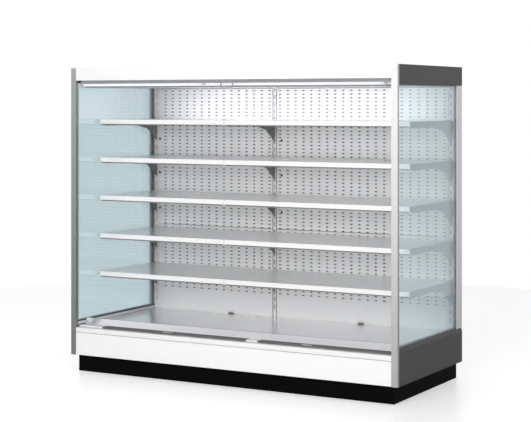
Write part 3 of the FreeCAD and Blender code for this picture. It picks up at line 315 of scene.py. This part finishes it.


# Depths that place the painted shade: the rear panel's face at the duct, and the uprights' front face.
duct_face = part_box("rear_panel")[0].y
upright_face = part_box("upright_left")[0].y
looks = {
    "black_plastic": coated("black_plastic", (0.03, 0.03, 0.03), rough=0.5, grain=700, strength=0.15),
    "zinc_steel": spangled("zinc_steel", (0.55, 0.56, 0.58)),
    "black_plinth": coated("black_plinth", (0.0022, 0.0022, 0.0023), rough=0.6, strength=0.03, sheen=0.03),
    # Rear panel: dark on its face at the duct, as painted shade in the duct behind the holes.
    "tub_liner": painted_shade_look("tub_liner", (0.74, 0.75, 0.76), (0.12, 0.122, 0.125), duct_face),
    "white_paint": coated("white_paint", WHITE, rough=0.38, strength=0.04, spread=0.01),
    "white_bumper": coated("white_bumper", (0.9, 0.905, 0.91), rough=0.3, strength=0.03, spread=0.01),
    "grille_dark": coated("grille_dark", (0.15, 0.153, 0.157), rough=0.45),
    # Deck: the nose darker and the pan behind it lighter, as painted shade and painted light.
    "deck_white": painted_light_beyond_plane("deck_white", (0.60, 0.605, 0.62), (0.96, 0.96, 0.965), at(NOSE_DEPTH),
                           rough=0.2, axis="Y", metal=0.45),
    "coil_aluminium": brushed("coil_aluminium", (0.72, 0.73, 0.74), 0.35),
    "copper": brushed("copper", (0.30, 0.18, 0.12), 0.32),
    "motor_black": coated("motor_black", (0.04, 0.04, 0.045), rough=0.45),
    "fan_blade": coated("fan_blade", (0.12, 0.12, 0.13), rough=0.4),
    "drain_grey": coated("drain_grey", (0.38, 0.38, 0.4), rough=0.45),
    "back_panel_white": coated("back_panel_white", (0.93, 0.93, 0.94), rough=0.4, strength=0.03, spread=0.01),
    # Uprights: dark everywhere but on their front face, as painted shade inside the slots.
    "upright_white": painted_shade_look("upright_white", UPRIGHT, (0.03, 0.032, 0.034), upright_face, True),
    "shelf_white": coated("shelf_white", (0.93, 0.935, 0.94), rough=0.22, strength=0.03,
                          spread=0.01, metal=0.3),
    "price_rail_white": coated("price_rail_white", (0.955, 0.955, 0.96), rough=0.3, strength=0.03,
                               spread=0.01),
    # Brackets: lighter at the right end, as painted light on the brackets behind the right end glass.
    "bracket_grey": painted_light_beyond_plane("bracket_grey", (0.24, 0.245, 0.25), (0.85, 0.86, 0.87), RIGHT_END),
    "honeycomb": coated("honeycomb", (0.3, 0.31, 0.32), rough=0.5),
    "lamp_glow": glowing("lamp_glow", (0.80, 0.81, 0.86), 0.5),
    "lamp_holder_white": coated("lamp_holder_white", (0.75, 0.76, 0.77), rough=0.4),
    "blind_cloth": woven("blind_cloth", (0.62, 0.64, 0.66)),
    # Blind bar: a mid grey, partly its own grey and partly painted shade under the fascia.
    "bar_grey": coated("bar_grey", (0.30, 0.305, 0.31), rough=0.35),
    "upright_plain": coated("upright_plain", UPRIGHT, rough=0.4),
    # Dark grey: painted shade on the hems under the price rails, and the grips' own grey.
    "hem_shade_and_grip_grey": coated("hem_shade_and_grip_grey", (0.20, 0.20, 0.205), rough=0.5),
    "glass": glazed("glass", (0.93, 0.98, 0.985)),
    "spacer_dark": brushed("spacer_dark", (0.1, 0.1, 0.11), 0.4),
    "end_panel_grey": coated("end_panel_grey", (0.088, 0.088, 0.090), rough=0.5, strength=0.1, sheen=0.25),
    "trim_grey": coated("trim_grey", (0.60, 0.66, 0.70), rough=0.45),
    # The left rear cover's trim: dark as painted shade on the end wall's shaded inside.
    "trim_painted_shade": coated("trim_painted_shade", (0.17, 0.19, 0.21), rough=0.45),
    "trim_light": coated("trim_light", (0.80, 0.81, 0.84), rough=0.45),
    "seal_pale": coated("seal_pale", (0.50, 0.56, 0.54), rough=0.5),
    # Posts: painted shade on the left post and near the floor; the rear post look is a lighter copy, with
    # painted light on the right.
    "post_aluminium": post_with_painted_light_and_shade("post_aluminium", (0.32, 0.335, 0.34), (0.62, 0.62, 0.62), 0.62),
    "rear_post": post_with_painted_light_and_shade("rear_post", (0.26, 0.27, 0.275), (0.85, 0.87, 0.89), 0.9),
}

# Two nodes differ from the others that share their slot: the rear posts take the lighter copy with painted
# light, and the left upright goes without the painted shade in its slots.
node_looks = {"rear_posts": "rear_post", "upright_left": "upright_plain"}
record_slots = {part["node"]: part["material_slot"] for part in frame["record"]["subparts"]}
for node, obj in nodes.items():
    obj.data.materials.clear()
    obj.data.materials.append(looks[node_looks.get(node, record_slots[node])])


# ---------------------------------------------------------------- mesh tools

LEAST_WIDTH = 0.0005


def new_piece(name, build, slot, body, smooth=False, cad=(), look=None):
    """Turns a finished bmesh into a piece that rides on a body and takes a slot's look."""
    bmesh.ops.remove_doubles(build, verts=build.verts, dist=0.00001)
    bmesh.ops.recalc_face_normals(build, faces=build.faces)
    mesh = bpy.data.meshes.new(name)
    build.to_mesh(mesh)
    build.free()
    for face in mesh.polygons:
        face.use_smooth = smooth
    mesh.materials.append(looks[look or slot])
    obj = bpy.data.objects.new(name, mesh)
    bpy.context.scene.collection.objects.link(obj)
    if cad:
        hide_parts(*cad)
    if body:
        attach(obj, body)
    return obj


def add_block(build, x, y, z, edge=0.0):
    """A block between (low, high) pairs along X, Y and Z, its edges eased by a given width."""
    made = bmesh.ops.create_cube(build, size=1.0)
    corners = made["verts"]
    for corner in corners:
        corner.co = Vector((
            x[0] if corner.co.x < 0 else x[1],
            y[0] if corner.co.y < 0 else y[1],
            z[0] if corner.co.z < 0 else z[1],
        ))
    if edge:
        edges = {e for corner in corners for e in corner.link_edges}
        bmesh.ops.bevel(build, geom=list(edges), offset=edge, segments=2, affect="EDGES", profile=0.5)


def join_loops(build, first, second):
    """A band of faces between two closed loops of as many points."""
    for index in range(len(first)):
        following = (index + 1) % len(first)
        build.faces.new([first[index], first[following], second[following], second[index]])


def hole_outline(half_width, half_height, steps):
    """Points round an obround that lies along X, anticlockwise from its right end's foot."""
    straight = half_width - half_height
    points = []
    for side, first in ((1, -90), (-1, 90)):
        for step in range(steps + 1):
            turn = math.radians(first + 180 * step / steps)
            points.append((side * straight + half_height * math.cos(turn),
                           half_height * math.sin(turn)))
    return points


def add_cell(build, corners, hole, y, back):
    """One rectangle of sheet with a hole through it. Corners are (x0, x1, z0, z1)."""
    x0, x1, z0, z1 = corners
    rims = []
    for depth in (y, back):
        rim = [build.verts.new((px, depth, pz)) for px, pz in hole]
        outside = [build.verts.new((px, depth, pz))
                   for px, pz in ((x1, z0), (x1, z1), (x0, z1), (x0, z0))]
        right = rim[:len(rim) // 2]
        left = rim[len(rim) // 2:]
        build.faces.new([outside[0], outside[1]] + right[::-1])
        build.faces.new([outside[2], outside[3]] + left[::-1])
        build.faces.new([outside[1], outside[2], left[0], right[-1]])
        build.faces.new([outside[3], outside[0], right[0], left[-1]])
        rims.append(rim)
    join_loops(build, rims[0], rims[1])


def add_sheet(build, corners, y, back):
    """The two faces of a plain rectangle of sheet, left out where it has no width."""
    x0, x1, z0, z1 = corners
    if x1 - x0 < LEAST_WIDTH or z1 - z0 < LEAST_WIDTH:
        return
    for depth in (y, back):
        build.faces.new([build.verts.new(p) for p in
                         ((x0, depth, z0), (x1, depth, z0), (x1, depth, z1), (x0, depth, z1))])


# ---------------------------------------------------------------- perforated back panels

HOLE_HALF_WIDTH = 0.0095
HOLE_HALF_HEIGHT = 0.0034
ROW_PITCH = 0.02412
TOP_ROW = 1.8126
BOTTOM_ROW = 0.46
ROW_MARGIN = 0.0045
HOLE_STEPS = 4
# The first column of holes, the step between columns and their count, for each bay.
COLUMNS = {"left": (-1.0223, 0.0590, 15), "right": (-0.1154, 0.0584, 21)}


def perforated_panel(bay, level):
    """A back panel with its rows of obround holes and four folded edges."""
    node = "back_panel_" + level + "_" + bay
    low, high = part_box(node)
    first, pitch, count = COLUMNS[bay]
    columns = [first + pitch * index for index in range(count)]
    rows = []
    row = TOP_ROW
    while row > BOTTOM_ROW:
        if low.z + ROW_MARGIN < row < high.z - ROW_MARGIN:
            rows.append(row)
        row -= ROW_PITCH
    rows.reverse()
    front = low.y
    back = front + SHEET
    build = bmesh.new()
    outline = hole_outline(HOLE_HALF_WIDTH, HOLE_HALF_HEIGHT, HOLE_STEPS)
    edges = [first + pitch * (index - 0.5) for index in range(count + 1)]
    bottom = rows[0] - ROW_PITCH / 2
    top = min(rows[-1] + ROW_PITCH / 2, high.z)
    for index, x in enumerate(columns):
        for z in rows:
            z0 = max(z - ROW_PITCH / 2, low.z)
            z1 = min(z + ROW_PITCH / 2, high.z)
            hole = [(x + px, z + pz) for px, pz in outline]
            add_cell(build, (edges[index], edges[index + 1], z0, z1), hole, front, back)
    add_sheet(build, (low.x, edges[0], low.z, high.z), front, back)
    add_sheet(build, (edges[-1], high.x, low.z, high.z), front, back)
    add_sheet(build, (edges[0], edges[-1], low.z, max(bottom, low.z)), front, back)
    add_sheet(build, (edges[0], edges[-1], top, high.z), front, back)
    add_block(build, (low.x, low.x + SHEET), (front, high.y), (low.z, high.z))
    add_block(build, (high.x - SHEET, high.x), (front, high.y), (low.z, high.z))
    add_block(build, (low.x, high.x), (front, high.y), (low.z, low.z + SHEET))
    add_block(build, (low.x, high.x), (front, high.y), (high.z - SHEET, high.z))
    new_piece("perforated_" + level + "_" + bay, build, "back_panel_white", "cabinet", cad=(node,))


for bay in COLUMNS:
    for level in ("upper", "lower"):
        perforated_panel(bay, level)


# ---------------------------------------------------------------- honeycomb air inlet

CELL = 0.0092
CELL_WALL = 0.0011
RIM = 0.004
CELL_SINK = 0.0005
EDGE = 0.0006


def ring(build, x, y, z, reach):
    """The six corners of a level hexagon, with a corner to the back."""
    turns = [math.radians(90 + 60 * corner) for corner in range(6)]
    return [build.verts.new((x + reach * math.cos(turn), y + reach * math.sin(turn), z)) for turn in turns]


def honeycomb(name, node, body, slot):
    """A frame filled with upright hexagonal cells, open from top to bottom."""
    low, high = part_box(node)
    build = bmesh.new()
    for x in ((low.x, low.x + RIM), (high.x - RIM, high.x)):
        add_block(build, x, (low.y, high.y), (low.z, high.z), edge=EDGE)
    for y in ((low.y, low.y + RIM), (high.y - RIM, high.y)):
        add_block(build, (low.x, high.x), y, (low.z, high.z), edge=EDGE)
    row_step = CELL * math.sqrt(3) / 2
    rows = int((high.y - low.y - 2 * RIM) / row_step) + 1
    count = int((high.x - low.x - 2 * RIM) / CELL) + 1
    reach = CELL / math.sqrt(3)
    hole_reach = reach - CELL_WALL / math.sqrt(3)
    y_start = (low.y + high.y) / 2 - (rows - 1) * row_step / 2
    x_start = (low.x + high.x) / 2 - (count - 1) * CELL / 2
    for row in range(rows):
        for index in range(count):
            x = x_start + index * CELL + (CELL / 2 if row % 2 else 0)
            y = y_start + row * row_step
            if not (low.x + RIM < x < high.x - RIM and low.y + RIM < y < high.y - RIM):
                continue
            loops = []
            for z in (high.z - CELL_SINK, low.z + CELL_SINK):
                outer = ring(build, x, y, z, reach)
                inner = ring(build, x, y, z, hole_reach)
                join_loops(build, outer, inner)
                loops.append(inner)
            join_loops(build, loops[0], loops[1])
    for vert in build.verts:
        vert.co.x = min(max(vert.co.x, low.x), high.x)
        vert.co.y = min(max(vert.co.y, low.y), high.y)
    new_piece(name, build, slot, body, cad=(node,))


honeycomb("inlet_honeycomb_left", "inlet_grille_left", "grille_left", "grille_dark")
honeycomb("inlet_honeycomb_right", "inlet_grille_right", "grille_right", "grille_dark")


TAB_HALF = 0.032
TAB_DEPTH = 0.022
TAB_THICK = 0.002


def lifting_tab(name, x, body, node):
    """A white finger tab moulded on the air inlet."""
    low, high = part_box(node)
    build = bmesh.new()
    front = low.y + RIM
    add_block(build, (x - TAB_HALF, x + TAB_HALF), (front, front + TAB_DEPTH),
              (high.z - TAB_THICK, high.z), edge=0.0009)
    new_piece(name, build, "white_bumper", body)


lifting_tab("lifting_tab_left", -0.440, "grille_left", "inlet_grille_left")
lifting_tab("lifting_tab_right", 0.540, "grille_right", "inlet_grille_right")


# ---------------------------------------------------------------- trims on the end walls

SEAL = 0.002
TRIM_FRONT = 0.0225
TRIM_REAR = 0.9165
GLASS_SPAN = (GLASS_FOOT, 1.829)
HEADER_SPAN = (1.831, 1.8585)
SILL_SPAN = (0.3045, 0.322)
# The left rear cover is dark as painted shade; the right one is a lighter grey.
REAR_COVERS = {"left": ("trim_painted_shade", 0.874), "right": ("trim_grey", 0.904)}


def end_trim(name, look, side, depths, heights, thick=PLATE):
    """A strip on the inner face of an end wall, from one depth to another."""
    build = bmesh.new()
    xs = sorted((side * (INNER - thick), side * INNER))
    add_block(build, xs, (at(depths[0]), at(depths[1])), heights, edge=0.0004)
    new_piece(name, build, "end_panel_grey", "cabinet", look=look)


for word, side in SIDES.items():
    cover_look, cover_front = REAR_COVERS[word]
    end_trim("rear_cover_" + word, cover_look, side, (cover_front, 0.908), GLASS_SPAN)
    end_trim("rear_edge_" + word, "upright_plain", side, (0.9082, TRIM_REAR), GLASS_SPAN)
    end_trim("header_liner_" + word, "upright_plain", side, (TRIM_FRONT, 0.19), HEADER_SPAN)
    end_trim("sill_cover_" + word, "trim_light", side, (TRIM_FRONT, TRIM_REAR), SILL_SPAN)
    if word == "left":
        end_trim("glass_edge", "seal_pale", side, (0.858, 0.8738), GLASS_SPAN)
    end_trim("front_seal_" + word, "seal_pale", side, (POST_REAR, 0.030), GLASS_SPAN, SEAL)


# ---------------------------------------------------------------- base panels

def extruded(name, profile, start, end, along, slot, cad=()):
    """A section drawn across X or Y and run along it from start to end."""
    build = bmesh.new()
    loops = []
    for place in (start, end):
        if along == "X":
            loops.append([build.verts.new((place, a, b)) for a, b in profile])
        else:
            loops.append([build.verts.new((a, place, b)) for a, b in profile])
    join_loops(build, loops[0], loops[1])
    for loop in loops:
        build.faces.new(loop)
    new_piece(name, build, slot, "cabinet", cad=cad)


END_SLOPE_RUN = 0.007
END_SLOPE_DROP = 0.021
GASKET_REAR = 0.9048
REAR_POST_FRONT = 0.905
REAR_POST_FOOT = 0.3402


def end_base(word, side):
    """The foot of one end wall: dark panel, gasket under the glass, foot of the rear post."""
    shoulder = END_OUTER - END_SLOPE_RUN
    section = [(side * x, z) for x, z in (
        (INNER, END_FOOT), (END_OUTER, END_FOOT), (END_OUTER, END_TOP - END_SLOPE_DROP),
        (shoulder, END_TOP), (INNER, END_TOP))]
    extruded("end_lower_panel_" + word, section, at(POST_REAR), at(DEPTH), "Y", "end_panel_grey",
             ("end_lower_panels",))
    gasket = [(side * x, z) for x, z in (
        (INNER, END_TOP), (shoulder, END_TOP), (shoulder, GLASS_FOOT), (INNER, GLASS_FOOT))]
    extruded("glass_gasket_" + word, gasket, at(POST_REAR), at(GASKET_REAR), "Y", "spacer_dark")
    foot = bmesh.new()
    xs = sorted((side * INNER, side * END_OUTER))
    add_block(foot, xs, (at(REAR_POST_FRONT), at(DEPTH)), (END_TOP, REAR_POST_FOOT), edge=0.0006)
    # The rear post's foot takes the same lighter copy, with painted light.
    new_piece("rear_post_foot_" + word, foot, "post_aluminium", "cabinet", look="rear_post")


for word, side in SIDES.items():
    end_base(word, side)


SPACER_INSIDE = 1.1222
SPACER_OUTSIDE = 1.1378


def spacer_bars():
    """The dark spacer between the two panes: up both edges and across the top."""
    low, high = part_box("glass_spacers")
    width = 0.012
    build = bmesh.new()
    for side in SIDES.values():
        xs = sorted((side * SPACER_INSIDE, side * SPACER_OUTSIDE))
        add_block(build, xs, (low.y, low.y + width), (low.z, high.z))
        add_block(build, xs, (high.y - width, high.y), (low.z, high.z))
        add_block(build, xs, (low.y + width, high.y - width), (high.z - width, high.z))
    new_piece("spacer_bars", build, "spacer_dark", "cabinet", cad=("glass_spacers",))


spacer_bars()


BUMPER_FOOT = 0.2580
BUMPER_TOP = 0.2875
BUMPER_RADIUS = 0.011
NOSE_STEPS = 6
PANEL_GAP = 0.0028


def front_panel():
    """The lower front panel: a sheet folded back along its top, foot and ends."""
    low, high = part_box("lower_front_panel")
    top = BUMPER_FOOT - PANEL_GAP
    build = bmesh.new()
    add_block(build, (low.x, high.x), (low.y, low.y + SHEET), (low.z, top), edge=0.0004)
    add_block(build, (low.x, high.x), (low.y, high.y), (low.z, low.z + SHEET), edge=0.0004)
    add_block(build, (low.x, high.x), (low.y, high.y), (top - SHEET, top), edge=0.0004)
    for x in ((low.x, low.x + SHEET), (high.x - SHEET, high.x)):
        add_block(build, x, (low.y, high.y), (low.z, top), edge=0.0004)
    new_piece("front_panel_skin", build, "white_paint", "cabinet", cad=("lower_front_panel",))


front_panel()


def bumper():
    """The moulded bumper rail, with a rounded nose and a level top."""
    low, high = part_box("bumper_cap")
    nose = []
    for step in range(NOSE_STEPS + 1):
        turn = math.radians(180 - 90 * step / NOSE_STEPS)
        nose.append((low.y + BUMPER_RADIUS + BUMPER_RADIUS * math.cos(turn),
                     BUMPER_TOP - BUMPER_RADIUS + BUMPER_RADIUS * math.sin(turn)))
    profile = [(low.y, BUMPER_FOOT)] + nose + [(high.y, BUMPER_TOP), (high.y, BUMPER_FOOT)]
    extruded("bumper_rail", profile, low.x, high.x, "X", "white_bumper", ("bumper_cap",))


bumper()


def plinth():
    """Folded kick plates along the front and both sides of the base frame."""
    half = 1.112
    front = at(0.036)
    rear = at(0.983)
    foot = 0.004
    lip = 0.020
    heights = (foot, END_FOOT)
    lip_heights = (END_FOOT - PLATE, END_FOOT)
    build = bmesh.new()
    add_block(build, (-half, half), (front, front + PLATE), heights, edge=0.0005)
    add_block(build, (-half, half), (front, front + lip), lip_heights, edge=0.0004)
    new_piece("plinth_front_plate", build, "black_plinth", "cabinet", cad=("plinth_front",))
    build = bmesh.new()
    for side in SIDES.values():
        xs = sorted((side * (half - PLATE), side * half))
        lips = sorted((side * (half - lip), side * half))
        add_block(build, xs, (front + PLATE, rear), heights, edge=0.0005)
        add_block(build, lips, (front + PLATE, rear), lip_heights, edge=0.0004)
    new_piece("plinth_side_plates", build, "black_plinth", "cabinet", cad=("plinth_sides",))


plinth()


GRIP_HALF = 0.017
GRIP_FOOT = 0.303
GRIP_HEIGHT = 0.012
GRIP_SETBACKS = (0.020, 0.011)


def deck_grip(name, x, body, node):
    """A grey finger grip at the rear edge of a deck pan."""
    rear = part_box(node)[1].y
    depths = [rear - setback for setback in GRIP_SETBACKS]
    build = bmesh.new()
    add_block(build, (x - GRIP_HALF, x + GRIP_HALF), depths, (GRIP_FOOT, GRIP_FOOT + GRIP_HEIGHT),
              edge=0.0015)
    new_piece(name, build, "deck_white", body, look="hem_shade_and_grip_grey")


deck_grip("deck_grip_left", -0.485, "deck_left", "deck_pan_left")
deck_grip("deck_grip_right", 0.485, "deck_right", "deck_pan_right")


# ---------------------------------------------------------------- shelf fronts

RAIL_WHITE = 0.0285
RAIL_HEM = 0.0360
RAIL_DEPTH = 0.0040
HEM_INSET = 0.006
HEM_SETBACK = 0.0015


def shelf_fronts():
    """White price rails, each with a hem folded under its foot, dark grey as painted shade."""
    rails = bmesh.new()
    hems = bmesh.new()
    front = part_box("price_rails")[0].y
    depths = (front, front + RAIL_DEPTH)
    hem_depths = (front + HEM_SETBACK, front + RAIL_DEPTH)
    for bay in SIDES:
        for level in range(1, SHELF_LEVELS + 1):
            low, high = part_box("shelf_" + bay + "_" + str(level))
            top = high.z
            add_block(rails, (low.x, high.x), depths, (top - RAIL_WHITE, top), edge=0.0009)
            add_block(hems, (low.x + HEM_INSET, high.x - HEM_INSET), hem_depths,
                      (top - RAIL_HEM, top - RAIL_WHITE), edge=0.0006)
    new_piece("price_rail_fronts", rails, "price_rail_white", "cabinet", cad=("price_rails",))
    new_piece("price_rail_hems_painted_shade", hems, "price_rail_white", "cabinet", look="hem_shade_and_grip_grey")


shelf_fronts()


# ---------------------------------------------------------------- night blind bar

BAR_HEIGHT = 0.012
LOOP_HALF = 0.045
LOOP_SIDE = 0.008
LOOP_FOOT = 0.007
LOOP_DEPTH = 0.005


def blind_bar():
    """The slim bar that weights the blind, with its finger loop in the middle."""
    low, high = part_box("blind_bottom_bar")
    under = high.z - BAR_HEIGHT
    build = bmesh.new()
    add_block(build, (low.x, high.x), (low.y, high.y), (under, high.z), edge=0.002)
    depths = (low.y, low.y + LOOP_DEPTH)
    for x in ((-LOOP_HALF, LOOP_SIDE - LOOP_HALF), (LOOP_HALF - LOOP_SIDE, LOOP_HALF)):
        add_block(build, x, depths, (low.z + 0.006, under), edge=0.001)
    add_block(build, (-LOOP_HALF, LOOP_HALF), depths, (low.z, low.z + LOOP_FOOT), edge=0.001)
    new_piece("blind_bar", build, "bar_grey", "night_blind", cad=("blind_bottom_bar",))


blind_bar()


def lamp_ends():
    """White end blocks that close the lamp line against the end walls."""
    low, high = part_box("lamp_tubes")
    build = bmesh.new()
    for x in ((-INNER + 0.001, low.x), (high.x + 0.018, INNER - 0.001)):
        add_block(build, x, (low.y, high.y), (low.z, high.z), edge=0.002)
    new_piece("lamp_end_blocks", build, "lamp_holder_white", "cabinet")


lamp_ends()


PLUG_RINGS = ((0.0080, 0.0), (0.0078, 0.0012), (0.0062, 0.0024), (0.0031, 0.0031))
PLUG_SIDES = 20
PLUG_HEIGHTS = (1.003, 1.248, 1.482)


def plug(name, x, z):
    """A domed rubber plug in a hole of the back wall."""
    build = bmesh.new()
    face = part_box("back_panel_upper_left")[0].y
    turns = [2 * math.pi * k / PLUG_SIDES for k in range(PLUG_SIDES)]
    loops = []
    for radius, rise in PLUG_RINGS:
        loops.append([build.verts.new((x + radius * math.cos(turn), face - rise, z + radius * math.sin(turn)))
                      for turn in turns])
    for wider, narrower in zip(loops, loops[1:]):
        join_loops(build, wider, narrower)
    build.faces.new(loops[-1])
    build.faces.new(loops[0])
    new_piece(name, build, "black_plastic", "cabinet", smooth=True)


for column, x in (("left", -1.068), ("centre", -0.103)):
    for level, z in enumerate(PLUG_HEIGHTS, start=1):
        plug("plug_" + column + "_" + str(level), x, z)


# ---------------------------------------------------------------- night blind cloth

CLOTH_ACROSS = 48
CLOTH_DOWN = 8


def blind_cloth():
    """The free stretch of the blind, from the roller down to the bar."""
    low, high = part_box("blind_fabric")
    y = (low.y + high.y) / 2
    build = bmesh.new()
    grid = []
    for row in range(CLOTH_DOWN + 1):
        z = low.z + (high.z - low.z) * row / CLOTH_DOWN
        grid.append([build.verts.new((low.x + (high.x - low.x) * column / CLOTH_ACROSS, y, z))
                     for column in range(CLOTH_ACROSS + 1)])
    for row in range(CLOTH_DOWN):
        for column in range(CLOTH_ACROSS):
            build.faces.new([grid[row][column], grid[row][column + 1],
                             grid[row + 1][column + 1], grid[row + 1][column]])
    cloth = new_piece("night_blind_cloth", build, "blind_cloth", None, cad=("blind_fabric",))
    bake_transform(cloth)


blind_cloth()


# ---------------------------------------------------------------- studio

def paper():
    """Floor sheet: white to the eye, blue-grey through glass, and it sends out no light of its own."""
    mat, tree, shader = new_material("studio_paper")
    fine = noise(tree, position(tree, (1, 1, 1)), 40, 2)
    tone = ramp(tree, fine, (0.80, 0.80, 0.80), (0.82, 0.82, 0.82))
    tree.links.new(tone, shader.inputs["Base Color"])
    shader.inputs["Roughness"].default_value = 0.35
    path = tree.nodes.new("ShaderNodeLightPath").outputs
    seen = mixed(tree, path["Is Camera Ray"], (0, 0, 0), (0.47, 0.47, 0.47))
    through = mixed(tree, path["Is Transmission Ray"], seen, (0.10, 0.19, 0.23))
    tree.links.new(through, shader.inputs["Emission Color"])
    shader.inputs["Emission Strength"].default_value = 1.0
    return mat


def round_floor(radius, sides):
    """The sheet of paper on which the cabinet stands."""
    mesh = bpy.data.meshes.new("studio_floor")
    build = bmesh.new()
    bmesh.ops.create_circle(build, cap_ends=True, radius=radius, segments=sides)
    build.to_mesh(mesh)
    build.free()
    floor = bpy.data.objects.new("studio_floor", mesh)
    bpy.context.scene.collection.objects.link(floor)
    mesh.materials.append(paper())


def background(tree, colour, strength):
    """One even colour all round."""
    node = tree.nodes.new("ShaderNodeBackground")
    node.inputs["Color"].default_value = (*colour, 1)
    node.inputs["Strength"].default_value = strength
    return node.outputs["Background"]


def chosen(tree, share, first, second):
    """The first shader where the share is 0 and the second where it is 1."""
    node = tree.nodes.new("ShaderNodeMixShader")
    tree.links.new(share, node.inputs["Fac"])
    tree.links.new(first, node.inputs[1])
    tree.links.new(second, node.inputs[2])
    return node.outputs["Shader"]


def studio_world(fill):
    """White to the eye and in metal; a soft grey-blue wall through glass; a plain fill as light."""
    world = bpy.data.worlds.new("studio_world")
    bpy.context.scene.world = world
    world.use_nodes = True
    tree = world.node_tree
    tree.nodes.clear()
    out = tree.nodes.new("ShaderNodeOutputWorld")
    path = tree.nodes.new("ShaderNodeLightPath").outputs
    seen = calculated(tree, "MAXIMUM", path["Is Camera Ray"], path["Is Glossy Ray"])
    plain = background(tree, (1, 1, 1), fill)
    white = background(tree, (1, 1, 1), 1.0)
    through = background(tree, (0.62, 0.70, 0.73), 1.0)
    opaque = chosen(tree, seen, plain, white)
    tree.links.new(chosen(tree, path["Is Transmission Ray"], opaque, through), out.inputs["Surface"])


def softbox(name, place, target, width, height, power, colour=(1, 1, 1), spread=180):
    """A rectangular lamp that faces its target and is itself unseen."""
    lamp = bpy.data.lights.new(name, "AREA")
    lamp.shape = "RECTANGLE"
    lamp.size = width
    lamp.size_y = height
    lamp.energy = power
    lamp.color = colour
    lamp.spread = math.radians(spread)
    obj = bpy.data.objects.new(name, lamp)
    bpy.context.scene.collection.objects.link(obj)
    obj.location = place
    way = Vector(target) - Vector(place)
    obj.rotation_euler = way.to_track_quat("-Z", "Y").to_euler()
    obj.visible_camera = False


round_floor(5.0, 96)
studio_world(0.25)
softbox("front_light", (0.5, -7.0, 1.8), (0, 0, 1.0), 5.0, 2.6, 215)
softbox("key_light", (2.0, -5.0, 4.6), (0, 0, 0.9), 4.0, 3.0, 95)
softbox("left_light", (-4.5, -5.0, 3.0), (0, 0, 1.0), 3.0, 3.0, 20)
softbox("top_light", (0.0, 0.5, 5.0), (0, 0, 0.8), 4.0, 3.0, 30)
softbox("header_light", (0.04, at(0.235), 1.824), (0.04, at(0.920), 1.60), 1.8, 0.02, 1.4,
        (0.93, 0.92, 1.0), 60)


# ---------------------------------------------------------------- camera

camera = bpy.data.cameras.new("camera")
camera.lens = 100.37
camera.sensor_width = 36
camera.sensor_fit = "HORIZONTAL"
camera.shift_x = 0.00115
camera.shift_y = -0.2048
camera_object = bpy.data.objects.new("camera", camera)
camera_object.location = (4.6066, -8.2153, 1.7356)
camera_object.rotation_euler = (math.radians(90), 0, math.radians(29.238))
bpy.context.scene.collection.objects.link(camera_object)
bpy.context.scene.camera = camera_object
bpy.context.scene.view_settings.view_transform = "Standard"
